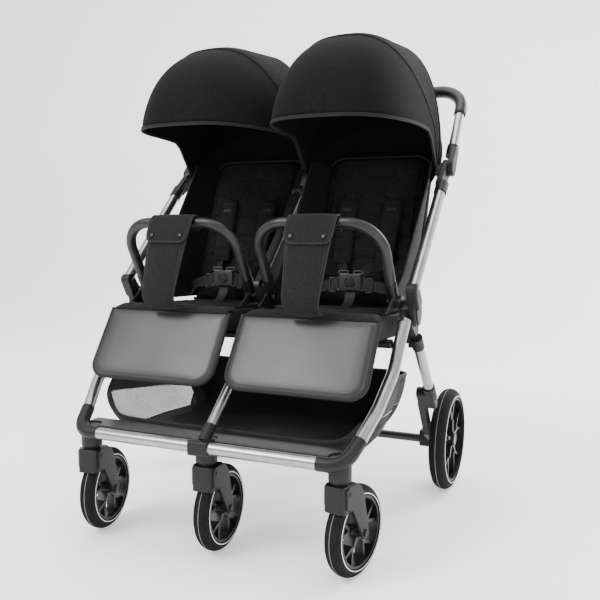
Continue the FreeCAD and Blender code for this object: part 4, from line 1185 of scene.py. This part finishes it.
def basket_point(around, down):
    """around is a turn from 0 to 1, down goes from the rim (0) to the middle of the floor (1)."""
    a = 2 * math.pi * around
    middle_y = (BASKET_FRONT + BASKET_BACK) / 2
    half_y = (BASKET_BACK - BASKET_FRONT) / 2
    edge_x = BASKET_HALF * signed(math.cos(a), 0.16)
    edge_y = middle_y + half_y * signed(math.sin(a), 0.20)
    if edge_y > -0.09:
        edge_x *= 1 - 0.052 * min(1.0, (edge_y + 0.09) / 0.05)
    elif edge_y > -0.30:
        edge_x *= 1 + 0.050 * math.sin(math.pi * (edge_y + 0.30) / 0.21) ** 0.7
    lean = down * math.pi / 2
    share = math.cos(lean) ** 0.24 if down < 1 else 0.0
    x, y = edge_x * share, middle_y + (edge_y - middle_y) * share
    rim = np.interp(edge_y, *zip(*RIM))
    floor = np.interp(y, *zip(*FLOOR))
    drop = math.sin(lean) ** 1.25
    sag = 0.004 * math.cos(x / BASKET_HALF * 1.4 * math.pi) * drop
    z = rim + (floor - rim) * drop + sag + 0.0012 * math.sin(41 * x) * math.sin(37 * y) * drop
    return Vector((x, y, z))


def basket_wall(y, z):
    """Point of the left wall at a given place along and up."""
    upper, lower = 0.0, 1.0
    for _ in range(22):
        down = (upper + lower) / 2
        back, front = 0.24, -0.24
        for _ in range(22):
            around = (back + front) / 2
            spot = basket_point(around, down)
            back, front = (around, front) if spot.y > y else (back, around)
        upper, lower = (down, lower) if spot.z > z else (upper, down)
    return spot


rows, columns = 44, 240
points = [basket_point(j / columns, i / (rows - 1)) for i in range(rows) for j in range(columns)]
faces = grid_faces(rows, columns, close_columns=True)
tub = new_piece("basket_tub", points, faces, (basket_cloth, mesh_knit))
for face in tub.data.polygons:
    mid = face.center
    steep = abs(face.normal.x) > 0.35
    if steep and abs(mid.x) > 0.26 and mid.z < 0.33 and -0.285 < mid.y < 0.06:
        face.material_index = 1
join = tub.modifiers.new("joined", "WELD")
join.merge_threshold = 0.0002
thicken(tub, 0.0018, -1.0)
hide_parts("basket")
rim_line = [basket_point(j / columns, 0.0) for j in range(columns)]
rim_hem = tube_piece("basket_rim_hem", rim_line, 0.0042, edge_tape, closed=True, sides=10)
piping_cloth = finish("reflective_piping", "#8A8A8C", 0.5, Sheen_Weight=0.2)
grain(piping_cloth, 900, 0.0001)
basket_parts = [tub, rim_hem]
for side, sign in SIDES.items():
    run = []
    for y in np.linspace(-0.262, 0.055, 44):
        z = WINDOW_TOP + WINDOW_SLOPE * y
        run.append(Vector((basket_wall(y, z).x * sign, y, z)) + Vector((sign * 0.0009, 0, 0)))
    basket_parts.append(tube_piece("basket_piping_" + side, run, 0.0013, piping_cloth, sides=6))
wear("basket_fabric", "front_frame", *basket_parts)

# ---- Floor, light and camera --------------------------------------------------------
# A pale studio sweep under soft boxes.  The camera stands a little to the pushchair's
# left, at the height of the seats.
sweep = finish("pale_studio_sweep", "#FBFBFB", 0.9, Emission_Color=linear("#FFFFFF"), Emission_Strength=0.4)
grain(sweep, 40, 0.0001)
SWEEP_FRONT, SWEEP_BACK, SWEEP_HEIGHT, SWEEP_BEND = -6.0, 3.2, 5.0, 1.4
profile = [(SWEEP_FRONT, 0.0), (0.0, 0.0)]
profile += [(SWEEP_BACK - SWEEP_BEND + SWEEP_BEND * math.sin(a), SWEEP_BEND - SWEEP_BEND * math.cos(a))
            for a in np.linspace(0, math.pi / 2, 16)]
profile.append((SWEEP_BACK, SWEEP_HEIGHT))
floor_points = [(x, y, z) for x in (7.0, -7.0) for y, z in profile]
floor = new_piece("studio_floor", floor_points, grid_faces(2, len(profile)), (sweep,))


def soft_box(name, spot, aim, size, power):
    """Square area light turned towards a point."""
    lamp = bpy.data.lights.new(name, "AREA")
    lamp.size = size
    lamp.energy = power
    holder = link(name, lamp)
    holder.location = spot
    holder.rotation_euler = (Vector(aim) - Vector(spot)).to_track_quat("-Z", "Y").to_euler()


soft_box("key_light", (-1.6, -2.6, 3.2), (0, 0, 0.6), 1.8, 150)
soft_box("fill_light", (3.2, -2.6, 2.0), (0, 0, 0.5), 2.4, 70)
soft_box("top_light", (0.0, 0.4, 3.6), (0, 0, 0.4), 2.6, 85)
soft_box("rim_light", (1.6, 2.4, 2.2), (0, 0, 0.7), 1.2, 60)

world = bpy.data.worlds.new("studio_air")
bpy.context.scene.world = world
world.use_nodes = True
world.node_tree.nodes["Background"].inputs["Color"].default_value = linear("#FFFFFF")
world.node_tree.nodes["Background"].inputs["Strength"].default_value = 1.15

camera_data = bpy.data.cameras.new("camera")
camera_data.lens = 45.91
camera_data.sensor_width = 36.0
camera_data.dof.use_dof = False
camera = link("camera", camera_data)
camera.location = (0.82078, -1.71501, 0.70635)
camera.rotation_euler = (math.radians(90 - 5.715), 0.0, math.radians(24.231))
bpy.context.scene.camera = camera
